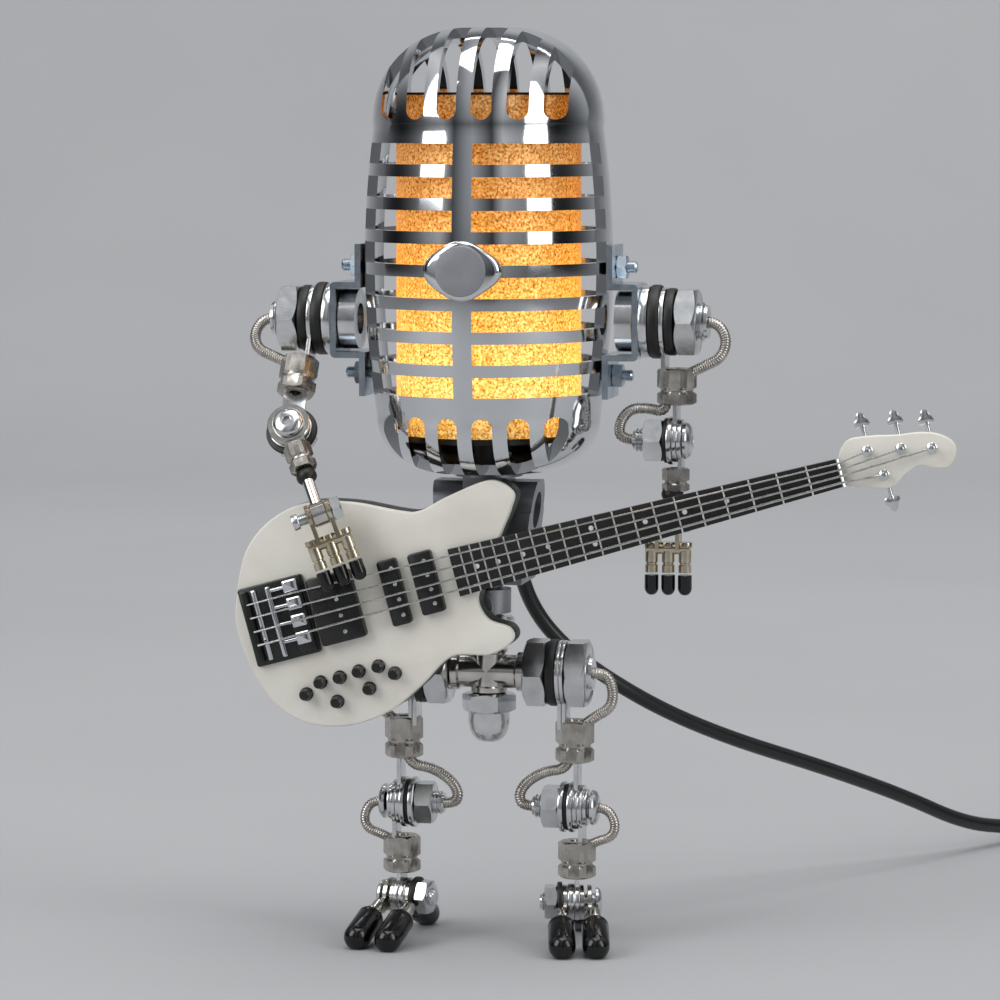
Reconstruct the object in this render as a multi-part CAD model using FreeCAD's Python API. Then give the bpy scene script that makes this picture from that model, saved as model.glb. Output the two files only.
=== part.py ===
import FreeCAD, Part
import math
import os

# Robot shaped desk lamp: a lit microphone shell on a body of pipe fittings, with bolted limbs.
# Millimetres, +Z up. The figure faces -Y, so its left side is +X.
# Everything is drawn about the trunk's axis and moved to the middle of its own box at the end.

V = FreeCAD.Vector

# Head shell, a die-cast grille in two halves
BLOCK_BASE = 92.0
HEAD_BASE = BLOCK_BASE + 28.0
HEAD_H = 110.0
HEAD_W = 62.0
HEAD_D = 68.0
HEAD_WALL = 2.5
HEAD_END_R = 26.0
HEAD_WIDEST = 52.0
HEAD_BULGE_R = 242.0
DOME_H = 25.0
DOME_RUN = 20.0
FOOT_H = 14.0
FOOT_RUN = 13.0
SLOT_COUNT = 8
SLOT_PITCH = 8.1
SLOT_H = 5.1
SLOT_LOW = 22.5
RIB_W = 4.8
SEAM_BAND = 10.0
FIN_X = (4.3, 12.7, 20.8)
FIN_W = 5.0
FIN_TOP_Z = 90.0
FIN_TOP_Y = 9.0
FIN_LOW_Z = 12.4
FIN_LOW_Y = 16.0
BADGE_Z = 51.0
BADGE_R = 6.2
BADGE_T = 1.0
BOSS_R = 7.3
BOSS_WING = 9.7
BOSS_T = 1.2

# Lamp inside the shell
SLEEVE_GAP = 8.0
SLEEVE_T = 0.6
SLEEVE_H = 84.0
PLATE_Z = 8.0
PLATE_T = 1.5
HOLDER_R = 9.0
HOLDER_H = 12.0
BULB_R = 14.0
BULB_H = 34.0

# Running clearance and threads
RUN = 0.05
M10_R = 5.0
M10_AF = 16.0
M6_R = 3.0
M6_AF = 10.0
M3_R = 1.5
M3_AF = 5.5
HOSE_R = 1.4
POLE = 0.3
LUG_T = 1.1
STRIP_W = 7.0

# Swivel block, stem and tee of pipe fittings
TILT_Z = BLOCK_BASE + 18.0
BLOCK_W = 26.5
BLOCK_D = 19.0
BLOCK_TOP = TILT_Z + 7.4
TONGUE_W = 11.0
TONGUE_R = 6.0
PIN_R = 3.0
STEM_R = 3.6
LOCKNUT_R = 6.4
LOCKNUT_H = 5.5
LOCKNUT_Z = BLOCK_BASE - 14.5
HIP_Z = 69.0
TEE_R = 4.25
TEE_HALF = 9.6
ACORN_AF = 12.0
ACORN_HEX_H = 4.7
ACORN_H = 12.5

# Shoulders
SHOULDER_Z = HEAD_BASE + 37.5
BRACKET_T = 1.5
BRACKET_W = 16.0
BRACKET_HALF = 19.0
BRACKET_OUT = 8.0
SHOULDER_WASHER_R = 9.0

# Guitar, laid on its neck's axis and turned up by NECK_RISE
GUITAR_X = -3.4
GUITAR_Z = BLOCK_BASE + 4.6
GUITAR_FACE_Y = -24.0
GUITAR_T = 9.0
NECK_RISE = 15.5
NECK_L = 98.5
NECK_W0 = 12.0
NECK_W1 = 6.9
NECK_T = 4.4
BOARD_T = 1.2
FRETS = 20
STRINGS = 4
STRING_R = 0.25

# Legs and feet
LEG_X = 22.0
KNEE_Z = 35.0
SPLAY = 12.0
TOE_R = 3.45
TOE_LEAN = 24.0
TOE_CAP_L = 12.5
TOE_ROOT = 6.6
TOE_CAP_START = 3.6
TOE_SPREAD = 1.1
TOE_FLAT = 0.4
TOE_REACH = TOE_ROOT + TOE_CAP_START + TOE_CAP_L - TOE_R
ANKLE_Z = TOE_R - TOE_FLAT + TOE_REACH * math.sin(math.radians(TOE_LEAN))

# Cord
CORD_R = 2.0
COIL_R = 24.0
COIL_PITCH = 4.5
COIL_LAYERS = 4
COIL_TURNS = 1.5
CLIMB_ASIDE = 0.8
CORD_SIDES = 8

# Right arm: its length, how far it swings forward, its elbow and its wrist
LEFT_REACH = 29.5
RIGHT_REACH = 31.5
RIGHT_SWING = 32.0
ELBOW_TURN = 24.0
WRIST_DROP = 27.0

# On the guitar's own plan: the stud lies straight in front of the stem.
STUD_DROP = -9.6
GUITAR_STUD = (
    -GUITAR_X * math.cos(math.radians(NECK_RISE)) + STUD_DROP * math.sin(math.radians(NECK_RISE)),
    GUITAR_X * math.sin(math.radians(NECK_RISE)) + STUD_DROP * math.cos(math.radians(NECK_RISE)),
)
PICKUPS = (
    (-37.2, -25.6, -9.6, 7.6, 2.6),
    (-18.6, -13.6, -9.2, 7.4, 2.2),
    (-10.6, -4.6, -8.4, 7.2, 2.2),
)
KNOBS = (
    (-44.9, -20.0), (-40.6, -18.0), (-35.5, -18.0), (-30.4, -17.7), (-25.2, -17.7), (-21.6, -20.4), (-28.9, -22.5),
    (-37.7, -23.7),
)
TUNERS = (
    (NECK_L + 7.4, 3.4, 1), (NECK_L + 15.4, 1.9, 1), (NECK_L + 22.6, 0.2, 1), (NECK_L + 9.8, -3.2, -1),
)

# The lead from the swivel block down to the floor, and what is on it
LEAD = [
    (0, 17.5, BLOCK_BASE + 9), (0, 27, BLOCK_BASE + 9), (0.4, 35, BLOCK_BASE + 0.5), (3.6, 39.5, 80), (11.5, 43.5, 69.5), (22.5, 49, 60.5),
    (36, 61, 50.5), (52, 78, 41), (72, 101, 31), (92, 126, 19.5), (107, 148, 8.5), (119, 168, 4.2), (125.0, 176.4, 4.2),
]
SWITCH_L = 40.0
SWITCH_W = 15.0
SWITCH_H = 9.0
COIL_WAY = -1
ROCKER_REST = 8.0
PLUG_H = 8.0
TIE_UNDER = -0.5
COIL_AFTER = 24.0

made = {}


def keep(name, *solids):
    """Add solids to a named node."""
    made.setdefault(name, []).extend(solids)


def bar(x0, x1, y0, y1, z0, z1):
    return Part.makeBox(x1 - x0, y1 - y0, z1 - z0, V(x0, y0, z0))


def rod(r, a, b, bore=0.0):
    """A round bar from point a to point b, with a bore through it."""
    a, b = V(*a), V(*b)
    shape = Part.makeCylinder(r, (b - a).Length, a, b - a)
    if bore:
        shape = shape.cut(Part.makeCylinder(bore, (b - a).Length, a, b - a))
    return shape


def at(shape, origin, z_to, y_to):
    """Stand a shape drawn on the XY plane on a new origin, with its Z and Y axes turned to z_to and y_to."""
    turned = shape.copy()
    turn = FreeCAD.Rotation(V(0, 0, 0), V(*y_to), V(*z_to), "ZYX")
    turned.Placement = FreeCAD.Placement(V(*origin), turn)
    return turned


def hexagon(af, h, bore, corner=0.35):
    """A hex nut on the XY plane with flats across Y, both ends turned down to a cone."""
    r = af / math.sqrt(3)
    points = [V(r * math.cos(math.pi * k / 3), r * math.sin(math.pi * k / 3), 0) for k in range(7)]
    nut = Part.Face(Part.makePolygon(points)).extrude(V(0, 0, h))
    edge = af / 2 + 0.25 * (r - af / 2)
    rise = corner * (r - edge) * 1.6
    outline = [V(0, 0, 0), V(edge, 0, 0), V(r, 0, rise), V(r, 0, h - rise), V(edge, 0, h), V(0, 0, h), V(0, 0, 0)]
    cone = Part.Face(Part.makePolygon(outline)).revolve(V(0, 0, 0), V(0, 0, 1), 360)
    nut = nut.common(cone)
    if bore:
        nut = nut.cut(Part.makeCylinder(bore, h))
    return nut


def spin(points_and_arcs, origin=(0, 0, 0), axis=(0, 0, 1)):
    """Revolve an outline of points (radius, height) given as runs, with 3-point arcs as nested triples."""
    edges = []
    last = None
    for item in points_and_arcs:
        if isinstance(item[0], tuple):
            mid, end = item
            a, m, b = V(last[0], 0, last[1]), V(mid[0], 0, mid[1]), V(end[0], 0, end[1])
            edges.append(Part.Arc(a, m, b).toShape())
            last = end
        else:
            if last is not None:
                edges.append(Part.makeLine(V(last[0], 0, last[1]), V(item[0], 0, item[1])))
            last = item
    face = Part.Face(Part.Wire(edges))
    solid = face.revolve(V(0, 0, 0), V(0, 0, 1), 360)
    if solid.Volume < 0:
        solid.reverse()
    side = (0, 1, 0) if abs(axis[1]) < 0.9 else (1, 0, 0)
    return at(solid, origin, axis, side)


def rounded_path(points, share=0.45):
    """Straight runs joined by tangent arcs, each as large as its two runs allow."""
    pts = [V(*p) for p in points]
    edges = []
    radii = []
    start = pts[0]
    for i in range(1, len(pts) - 1):
        into, out = pts[i] - pts[i - 1], pts[i + 1] - pts[i]
        turn = into.getAngle(out)
        cut = share * min(into.Length, out.Length)
        radii.append(cut / math.tan(turn / 2))
        u, w = V(into).normalize(), V(out).normalize()
        a, b = pts[i] - u * cut, pts[i] + w * cut
        middle = V(w - u).normalize()
        crest = pts[i] + middle * (radii[-1] / math.cos(turn / 2) - radii[-1])
        edges.append(Part.makeLine(start, a))
        edges.append(Part.Arc(a, crest, b).toShape())
        start = b
    edges.append(Part.makeLine(start, pts[-1]))
    return edges, radii


def tube(points, r, share=0.45):
    """A bent round tube along rounded runs."""
    edges, _ = rounded_path(points, share)
    path = Part.Wire(edges)
    first = V(*points[1]) - V(*points[0])
    ring = Part.Wire(Part.makeCircle(r, V(*points[0]), first))
    return path.makePipeShell([ring], True, False)


def oval(half_w, half_d, end_r):
    """Centres and radii of a four-arc oval: the ends' offset, the sides' offset and the sides' radius."""
    c = half_d - end_r
    k = half_w - end_r
    e = (c * c - k * k) / (2 * k)
    return c, e, half_w + e


def bulge(z):
    """How far the shell's side is drawn in at height z above its base."""
    return HEAD_BULGE_R - math.sqrt(HEAD_BULGE_R ** 2 - (z - HEAD_WIDEST) ** 2)


def lofty(inset, bottom, top, domed=True):
    """A closed body with the shell's plan, drawn in by inset, from bottom to top above the shell's base."""
    c, e, side_r = oval(HEAD_W / 2, HEAD_D / 2, HEAD_END_R)
    z_dome, z_foot = HEAD_H - DOME_H, FOOT_H
    d_dome, d_foot = bulge(z_dome), bulge(z_foot)
    half = math.sqrt(0.5)
    d_end = d_dome + DOME_RUN

    def edges_for(radius):
        def p(d, z):
            return V(radius - d, 0, z)

        if not domed:
            flat = [V(0, 0, bottom), p(inset, bottom), p(inset, top), V(0, 0, top), V(0, 0, bottom)]
            return Part.makePolygon(flat).Edges
        base_in = d_foot + FOOT_RUN
        a = p(base_in, bottom)
        b = p(d_foot + inset, z_foot)
        rise_low = (z_foot - bottom) * (1 - half)
        ab = p(d_foot + inset + (base_in - d_foot - inset) * (1 - half), bottom + rise_low)
        c0 = p(inset, HEAD_WIDEST)
        d = p(d_dome + inset, z_dome)
        run = d_end - d_dome - inset
        t = p(d_end, top)
        dt = p(d_dome + inset + run * (1 - half), z_dome + (top - z_dome) * half)
        return [
            Part.makeLine(V(0, 0, bottom), a),
            Part.Arc(a, ab, b).toShape(),
            Part.Arc(b, c0, d).toShape(),
            Part.Arc(d, dt, t).toShape(),
            Part.makeLine(t, V(0, 0, top)),
            Part.makeLine(V(0, 0, top), V(0, 0, bottom)),
        ]

    lean = math.degrees(math.atan2(c, e))
    solid = None
    spans = [
        (HEAD_END_R, V(0, c, 0), lean, 180 - 2 * lean),
        (side_r, V(e, 0, 0), 180 - lean, 2 * lean),
        (HEAD_END_R, V(0, -c, 0), 180 + lean, 180 - 2 * lean),
        (side_r, V(-e, 0, 0), 360 - lean, 2 * lean),
    ]
    for radius, centre, start, sweep in spans:
        face = Part.Face(Part.Wire(edges_for(radius)))
        pie = face.revolve(V(0, 0, 0), V(0, 0, 1), sweep)
        pie.rotate(V(0, 0, 0), V(0, 0, 1), start)
        pie.translate(centre)
        solid = pie if solid is None else solid.fuse(pie)
    solid = solid.removeSplitter()
    solid.translate(V(0, 0, HEAD_BASE))
    return solid


def head_shells():
    outer = lofty(0.0, 0.0, HEAD_H)
    inner = lofty(HEAD_WALL, HEAD_WALL, HEAD_H - HEAD_WALL)
    shell = outer.cut(inner)
    proud = lofty(-BOSS_T, -BOSS_T, HEAD_H + BOSS_T).cut(inner)
    z = HEAD_BASE + BADGE_Z
    wing = []
    for side in (1, -1):
        tip, top, low = V(side * BOSS_WING, 0, z), V(0, 0, z + BOSS_R), V(0, 0, z - BOSS_R)
        flank = BOSS_R * 0.62
        wing.append((top, V(side * flank, 0, z + flank * 0.92), tip, V(side * flank, 0, z - flank * 0.92), low))
    right, left = wing
    loop = [Part.Arc(right[0], right[1], right[2]).toShape(), Part.Arc(right[2], right[3], right[4]).toShape()]
    loop += [Part.Arc(left[4], left[3], left[2]).toShape(), Part.Arc(left[2], left[1], left[0]).toShape()]
    patch = Part.Face(Part.Wire(loop)).extrude(V(0, -HEAD_D, 0))
    boss = proud.common(patch)
    cuts = []
    far = HEAD_D
    for k in range(SLOT_COUNT):
        z0 = HEAD_BASE + SLOT_LOW + k * SLOT_PITCH - SLOT_H / 2
        for side in (1, -1):
            for front in (1, -1):
                x0, x1 = sorted((side * RIB_W / 2, side * far))
                y0, y1 = sorted((front * SEAM_BAND / 2, front * far))
                cuts.append(bar(x0, x1, y0, y1, z0, z0 + SLOT_H))
    for x in FIN_X:
        for side in (1, -1):
            for front in (1, -1):
                cx = side * x
                for z0, z1, depth, up in (
                    (FIN_TOP_Z, HEAD_H + 5, FIN_TOP_Y, True),
                    (-5.0, FIN_LOW_Z, FIN_LOW_Y, False),
                ):
                    y0, y1 = sorted((front * depth, front * far))
                    slot = bar(cx - FIN_W / 2, cx + FIN_W / 2, y0, y1, HEAD_BASE + z0, HEAD_BASE + z1)
                    end_z = HEAD_BASE + (z0 if up else z1)
                    slot = slot.fuse(rod(FIN_W / 2, (cx, y0, end_z), (cx, y1, end_z)))
                    cuts.append(slot)
    shell = shell.cut(cuts).fuse(boss)
    seat_y = -HEAD_D / 2 - BOSS_T + 0.6
    shell = shell.cut(rod(BADGE_R + 0.1, (0, -far, z), (0, seat_y, z)))
    for side in (1, -1):
        for dz in (1, -1):
            hz = SHOULDER_Z + dz * (BRACKET_HALF - 5.5)
            shell = shell.cut(rod(M3_R + RUN, (0, 0, hz), (side * far, 0, hz)))
    shell = shell.cut(rod(M3_R + RUN, (0, 0, HEAD_BASE - 5), (0, 0, HEAD_BASE + 5)))
    keep("front_shell", shell.common(bar(-far, far, -far, 0, 0, 400)))
    keep("rear_shell", shell.common(bar(-far, far, 0, far, 0, 400)))
    disc = spin([(0, 0), (BADGE_R, 0), (BADGE_R, BADGE_T - 0.3), (BADGE_R - 0.3, BADGE_T), (0, BADGE_T), (0, 0)])
    keep("badge", at(disc, (0, seat_y, z), (0, -1, 0), (0, 0, 1)))


def lamp_inside():
    plate_z = PLATE_Z
    sleeve_z = plate_z + PLATE_T
    outer = lofty(SLEEVE_GAP, sleeve_z, sleeve_z + SLEEVE_H, domed=False)
    inner = lofty(SLEEVE_GAP + SLEEVE_T, sleeve_z - 1, sleeve_z + SLEEVE_H + 1, domed=False)
    keep("light_sleeve", outer.cut(inner))
    base = HEAD_BASE + HEAD_WALL
    plate = lofty(SLEEVE_GAP, plate_z, plate_z + PLATE_T, domed=False)
    foot = rod(12.0, (0, 0, base), (0, 0, HEAD_BASE + plate_z))
    cup_z = HEAD_BASE + plate_z + PLATE_T
    cup = rod(HOLDER_R, (0, 0, cup_z), (0, 0, cup_z + HOLDER_H), 7.0)
    keep("lamp_holder", plate.fuse([foot, cup]).cut(rod(M3_R, (0, 0, base), (0, 0, base + 5))))
    top = BULB_H
    bulb = spin([
        (0, 0.2), (6.5, 0.2), (6.5, HOLDER_H), (8.0, HOLDER_H + 2),
        ((BULB_R, top - BULB_R), (BULB_R * 0.707, top - BULB_R * 0.293)),
        ((BULB_R * 0.383, top - BULB_R * 0.076), (POLE, top)), (0, top), (0, 0.2),
    ], (0, 0, cup_z))
    keep("led_bulb", bulb)


def swivel():
    """The forked block under the shell, its tongue and the pin that the head tilts on."""
    half_w, half_d = BLOCK_W / 2, BLOCK_D / 2
    body = [V(-half_w, 0, BLOCK_TOP), V(half_w, 0, BLOCK_TOP)]
    body += [V(half_w - 3.2, 0, BLOCK_BASE), V(3.2 - half_w, 0, BLOCK_BASE)]
    block = Part.Face(Part.makePolygon(body + [body[0]])).extrude(V(0, BLOCK_D, 0))
    block.translate(V(0, -half_d, 0))
    rise = BLOCK_TOP - TILT_Z
    dome = rod(math.hypot(rise, 4.0), (-40, 0, TILT_Z), (40, 0, TILT_Z)).fuse(bar(-40, 40, -40, 40, 0, TILT_Z))
    block = block.common(dome)
    mouth = bar(-TONGUE_W / 2 - 0.1, TONGUE_W / 2 + 0.1, -40, 40, TILT_Z - TONGUE_R - 0.6, 200)
    block = block.cut(mouth)
    block = block.cut(rod(PIN_R + 1.6, (half_w - 3.0, 0, TILT_Z), (40, 0, TILT_Z)))
    block = block.cut(rod(PIN_R + 1.6, (-40, 0, TILT_Z), (3.0 - half_w, 0, TILT_Z)))
    block = block.cut(rod(PIN_R, (-40, 0, TILT_Z), (40, 0, TILT_Z)))
    block = block.cut(rod(STEM_R, (0, 0, 0), (0, 0, BLOCK_BASE + 4)))
    keep("swivel_block", block)
    pin = rod(PIN_R, (-half_w + 2.9, 0, TILT_Z), (half_w - 2.9, 0, TILT_Z))
    keep("swivel_pin", pin)
    tongue = bar(-TONGUE_W / 2, TONGUE_W / 2, -TONGUE_R, TONGUE_R, TILT_Z, HEAD_BASE - 1.5)
    tongue = tongue.fuse(rod(TONGUE_R, (-TONGUE_W / 2, 0, TILT_Z), (TONGUE_W / 2, 0, TILT_Z)))
    flange = rod(8.5, (0, 0, HEAD_BASE - 1.5), (0, 0, HEAD_BASE))
    tongue = tongue.fuse(flange).cut(rod(PIN_R + RUN, (-40, 0, TILT_Z), (40, 0, TILT_Z)))
    keep("head_tongue", tongue.cut(rod(M3_R, (0, 0, HEAD_BASE - 4), (0, 0, HEAD_BASE))))
    keep("head_tongue", rod(M3_R - 0.02, (0, 0, HEAD_BASE - 3.9), (0, 0, HEAD_BASE + HEAD_WALL + 4)))


def trunk():
    arm = rod(TEE_R, (-TEE_HALF, 0, HIP_Z), (TEE_HALF, 0, HIP_Z))
    drop = rod(TEE_R, (0, 0, HIP_Z - TEE_R - 1.2), (0, 0, HIP_Z + TEE_R + 1.5))
    tee = arm.fuse(drop)
    for side in (1, -1):
        ring = rod(TEE_R + 0.7, (side * TEE_HALF, 0, HIP_Z), (side * (TEE_HALF - 2.2), 0, HIP_Z))
        tee = tee.fuse(ring)
    stem = rod(STEM_R, (0, 0, HIP_Z + TEE_R + 1.5), (0, 0, BLOCK_BASE + 4), 2.2)
    keep("tee", tee)
    keep("stem_and_nuts", stem)
    lock = spin([
        (STEM_R + 0.02, 0), (LOCKNUT_R - 0.6, 0), (LOCKNUT_R, 0.6), (LOCKNUT_R, LOCKNUT_H - 0.6),
        (LOCKNUT_R - 0.6, LOCKNUT_H), (STEM_R + 0.02, LOCKNUT_H), (STEM_R + 0.02, 0),
    ], (0, 0, LOCKNUT_Z))
    keep("stem_and_nuts", lock)
    z1 = HIP_Z - TEE_R - 1.2
    acorn_r = ACORN_AF / 2 - 0.6
    hex_part = hexagon(ACORN_AF, ACORN_HEX_H, 0)
    hex_part = at(hex_part, (0, 0, z1), (0, 0, -1), (0, 1, 0))
    cap_l = ACORN_H - ACORN_HEX_H
    cap = spin([
        (0, 0), (acorn_r, 0), (acorn_r, cap_l - acorn_r),
        ((acorn_r * 0.707, cap_l - acorn_r * 0.293), (POLE, cap_l)), (0, cap_l), (0, 0),
    ], (0, 0, z1 - ACORN_HEX_H), (0, 0, -1))
    keep("stem_and_nuts", hex_part.fuse(cap))


def along_x(side, x0, x1, r, z, y=0.0, bore=0.0):
    """A round piece on an X axis, mirrored to its side of the figure."""
    return rod(r, (side * x0, y, z), (side * x1, y, z), bore)


def nut_x(side, x0, length, af, bore, z, y=0.0):
    """A hex nut on an X axis with its flats up and down."""
    return at(hexagon(af, length, bore), (side * x0, y, z), (side, 0, 0), (0, 0, 1))


def hip_set():
    z = HIP_Z
    for side in (1, -1):
        keep("hip_hardware", along_x(side, TEE_HALF, 26.8, M10_R, z, bore=HOSE_R + 0.15))
        keep("hip_hardware", nut_x(side, 9.7, 5.9, M10_AF, M10_R + RUN, z))
        keep("hip_hardware", nut_x(side, 20.3, 5.4, M10_AF, M10_R + RUN, z))
        keep("hip_rubbers", along_x(side, 15.65, 18.0, 8.4, z, bore=M10_R + RUN))


def lug(side, x0, z, ring_r, bore_r, z_to, width=STRIP_W, y=0.0, t=LUG_T):
    """A ring lug in the YZ plane: an eye on a joint's axis and its flat tail to height z_to."""
    eye = along_x(side, x0, x0 + t, ring_r, z, y)
    xs = sorted((side * x0, side * (x0 + t)))
    zs = sorted((z, z_to))
    tail = bar(xs[0], xs[1], y - width / 2, y + width / 2, zs[0], zs[1])
    return eye.fuse(tail).cut(along_x(side, x0 - 1, x0 + t + 1, bore_r, z, y))


def ferrule(x, y, z0, z1, af):
    """A hex crimp ferrule standing on end."""
    hexed = hexagon(af, z1 - z0, 0, 0.2)
    return at(hexed, (x, y, z0), (0, 0, 1), (0, 1, 0))


def shoulder_set(side):
    z = SHOULDER_Z
    web_in = HEAD_W / 2 + BRACKET_OUT - BRACKET_T
    web_out = web_in + BRACKET_T
    leg = BRACKET_HALF - 11.0
    pieces = [bar(web_in, web_out, -BRACKET_W / 2, BRACKET_W / 2, z - leg - BRACKET_T, z + leg + BRACKET_T)]
    for dz in (1, -1):
        hz = z + dz * (BRACKET_HALF - 5.5)
        za, zb = sorted((z + dz * leg, z + dz * BRACKET_HALF))
        widest = min(max(HEAD_BASE + HEAD_WIDEST, za), zb)
        face = HEAD_W / 2 - bulge(widest - HEAD_BASE) + 0.1
        za, zb = sorted((z + dz * leg, z + dz * (leg + BRACKET_T)))
        pieces.append(bar(face, web_out, -BRACKET_W / 2, BRACKET_W / 2, za, zb))
        za, zb = sorted((z + dz * leg, z + dz * BRACKET_HALF))
        pieces.append(bar(face, face + BRACKET_T, -BRACKET_W / 2, BRACKET_W / 2, za, zb))
        wall = HEAD_W / 2 - bulge(hz - HEAD_BASE) - HEAD_WALL
        seat = face + BRACKET_T
        screw = along_x(side, wall - 0.35, seat + 5.0, M3_R, hz).fuse(along_x(side, wall - 2.0, wall - 0.35, 2.6, hz))
        keep("shoulder_hardware", screw)
        keep("shoulder_hardware", nut_x(side, seat + 0.02, 2.6, M3_AF, M3_R + RUN, hz))
    strip = pieces[0].fuse(pieces[1:])
    holes = [along_x(1, 20, 60, M10_R + RUN, z)]
    for dz in (1, -1):
        holes.append(along_x(1, 20, 60, M3_R + RUN, z + dz * (BRACKET_HALF - 5.5)))
    strip = strip.cut(holes).removeSplitter()
    outer_bends = []
    for edge in strip.Edges:
        box = edge.BoundBox
        straight = edge.Length > BRACKET_W - 0.1 and box.XLength < 0.01 and box.ZLength < 0.01
        if straight and abs(box.XMin - web_out) < 0.01:
            outer_bends.append(edge)
    strip = strip.makeFillet(1.3, outer_bends)
    if side < 0:
        strip = strip.mirror(V(0, 0, 0), V(1, 0, 0))
    keep("shoulder_brackets", strip)
    bolt = along_x(side, web_in, 55.5, M10_R, z).fuse(along_x(side, web_in - 4.6, web_in, 7.6, z))
    bolt = bolt.cut(nut_x(side, web_in - 4.6, 2.6, 7.0, 0, z))
    bolt = bolt.cut(along_x(side, 51.5, 60, HOSE_R + 0.1, z))
    keep("shoulder_hardware", bolt)
    keep("shoulder_hardware", along_x(side, web_out, 41.2, SHOULDER_WASHER_R, z, bore=M10_R + RUN))
    keep("shoulder_hardware", nut_x(side, 47.7, 5.4, M10_AF, M10_R + RUN, z))
    keep("shoulder_rubbers", along_x(side, 41.25, 43.95, 9.2, z, bore=M10_R + RUN))
    keep("shoulder_rubbers", along_x(side, 45.3, 47.6, 8.4, z, bore=M10_R + RUN))


def elbow_stack(side, name, y, z):
    """Bolt, nut and washers of a joint on an X axis; x runs outward from the bolt's inner end."""
    bolt = along_x(side, 36.8, 49.6, M6_R, z, y).fuse(
        at(dome_head(4.6, 2.0), (side * 49.6, y, z), (side, 0, 0), (0, 0, 1)))
    keep(name, bolt.cut(along_x(side, 36, 40.3, HOSE_R + 0.1, z, y)))
    keep(name, nut_x(side, 39.6, 5.0, M6_AF, M6_R + RUN, z, y))
    keep(name, along_x(side, 44.65, 45.6, 5.6, z, y, M6_R + RUN))
    keep(name, along_x(side, 45.65, 46.9, 6.0, z, y, M6_R + RUN))


def dome_head(r, h):
    """A domed bolt head on the XY plane with a centre recess."""
    head = spin([(0, 0), (r, 0), (r, h * 0.35), ((r * 0.82, h * 0.8), (r * 0.45, h)), (0, h), (0, 0)])
    return head.cut(Part.makeCylinder(r * 0.3, h, V(0, 0, h * 0.5)))


def left_arm():
    """The arm on +X, which hangs behind the guitar's neck."""
    side = 1
    shoulder, elbow = SHOULDER_Z, SHOULDER_Z - LEFT_REACH
    wrist = elbow - 20.0
    fz0, fz1, fx = shoulder - 20.5, shoulder - 11.5, 47.6
    arm = lug(side, 44.05, shoulder, 8.5, M10_R + RUN, fz1 - 2.0)
    arm = arm.fuse(ferrule(fx, 0, fz0, fz1, 8.6))
    arm = arm.fuse(lug(side, 47.0, elbow, 5.4, M6_R + RUN, fz0 + 2.0, 6.0))
    keep("left_upper_arm", arm.removeSplitter())
    top = tube([(52.0, 0, shoulder), (58.6, 0, shoulder), (58.6, 0, shoulder - 8.5), (54.5, 0, shoulder - 10.9), (50.2, 0, fz1 - 1.4)], HOSE_R)
    low = tube([(45.2, -1.0, fz0 + 1.4), (45.2, -1.0, fz0 - 1.6), (38.4, -1.0, fz0 - 1.4), (33.8, -0.3, elbow + 4.0), (34.2, 0, elbow),
                (40.0, 0, elbow)], HOSE_R, 0.42)
    keep("left_upper_arm_hose", top.cut(arm), low.cut(arm))
    elbow_stack(side, "left_elbow_hardware", 0, elbow)
    fore = lug(side, 48.2, elbow, 5.4, M6_R + RUN, elbow - 8.0, 5.0)
    fore = fore.fuse(ferrule(47.4, 0, elbow - 12.6, elbow - 6.8, 6.0))
    fore = fore.fuse(Part.makeSphere(2.6, V(46.6, 0, elbow - 13.4)))
    fore = fore.fuse(rod(1.6, (47.0, 0, elbow - 11.0), (45.6, 0, wrist + 2.0)))
    eye = rod(3.2, (43.7, 0, wrist), (47.5, 0, wrist))
    fore = fore.fuse(eye).cut(rod(1.5 + RUN, (30, 0, wrist), (60, 0, wrist)))
    keep("left_forearm", fore)
    hand("left", (45.6, 0, wrist), (1, 0, 0), (0, 0, -1))


def hand(name, wrist, across, down):
    """A wrist bolt across the forearm's eye, a knuckle bar and three fingers with rubber tips."""
    wrist, across, down = V(*wrist), V(*across).normalize(), V(*down).normalize()

    def p(a, d):
        q = wrist + across * a + down * d
        return (q.x, q.y, q.z)

    pin = rod(1.5, p(-5.4, 0), p(5.4, 0))
    keep(name + "_wrist_hardware", pin.fuse(rod(2.0, p(-7.0, 0), p(-5.4, 0))))
    turn = at(hexagon(M3_AF, 2.4, M3_R + RUN), p(3.2, 0), tuple(across), tuple(down))
    keep(name + "_wrist_hardware", turn)
    pieces = []
    for a0, a1 in ((-3.1, -2.0), (2.0, 3.1)):
        cheek = rod(3.1, p(a0, 0), p(a1, 0))
        cheek = cheek.fuse(at(Part.makeBox(5.0, 7.2, a1 - a0, V(-2.5, 0, 0)), p(a0, 0), tuple(across), tuple(down)))
        pieces.append(cheek)
    pieces.append(rod(1.5, p(-5.6, 7.0), p(5.6, 7.0)))
    for a in (-4.2, 0.0, 4.2):
        pieces.append(rod(1.5, p(a, 6.2), p(a, 13.6)))
    palm = pieces[0].fuse(pieces[1:]).cut(rod(1.5 + RUN, p(-9, 0), p(9, 0)))
    keep(name + "_hand", palm)
    for a in (-4.2, 0.0, 4.2):
        tip = spin([(0, 0), (1.75, 0), (1.75, 3.4), ((1.24, 4.64), (POLE, 5.15)), (0, 5.15), (0, 0)], p(a, 13.6),
                   tuple(down))
        keep(name + "_hand", tip)


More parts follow.
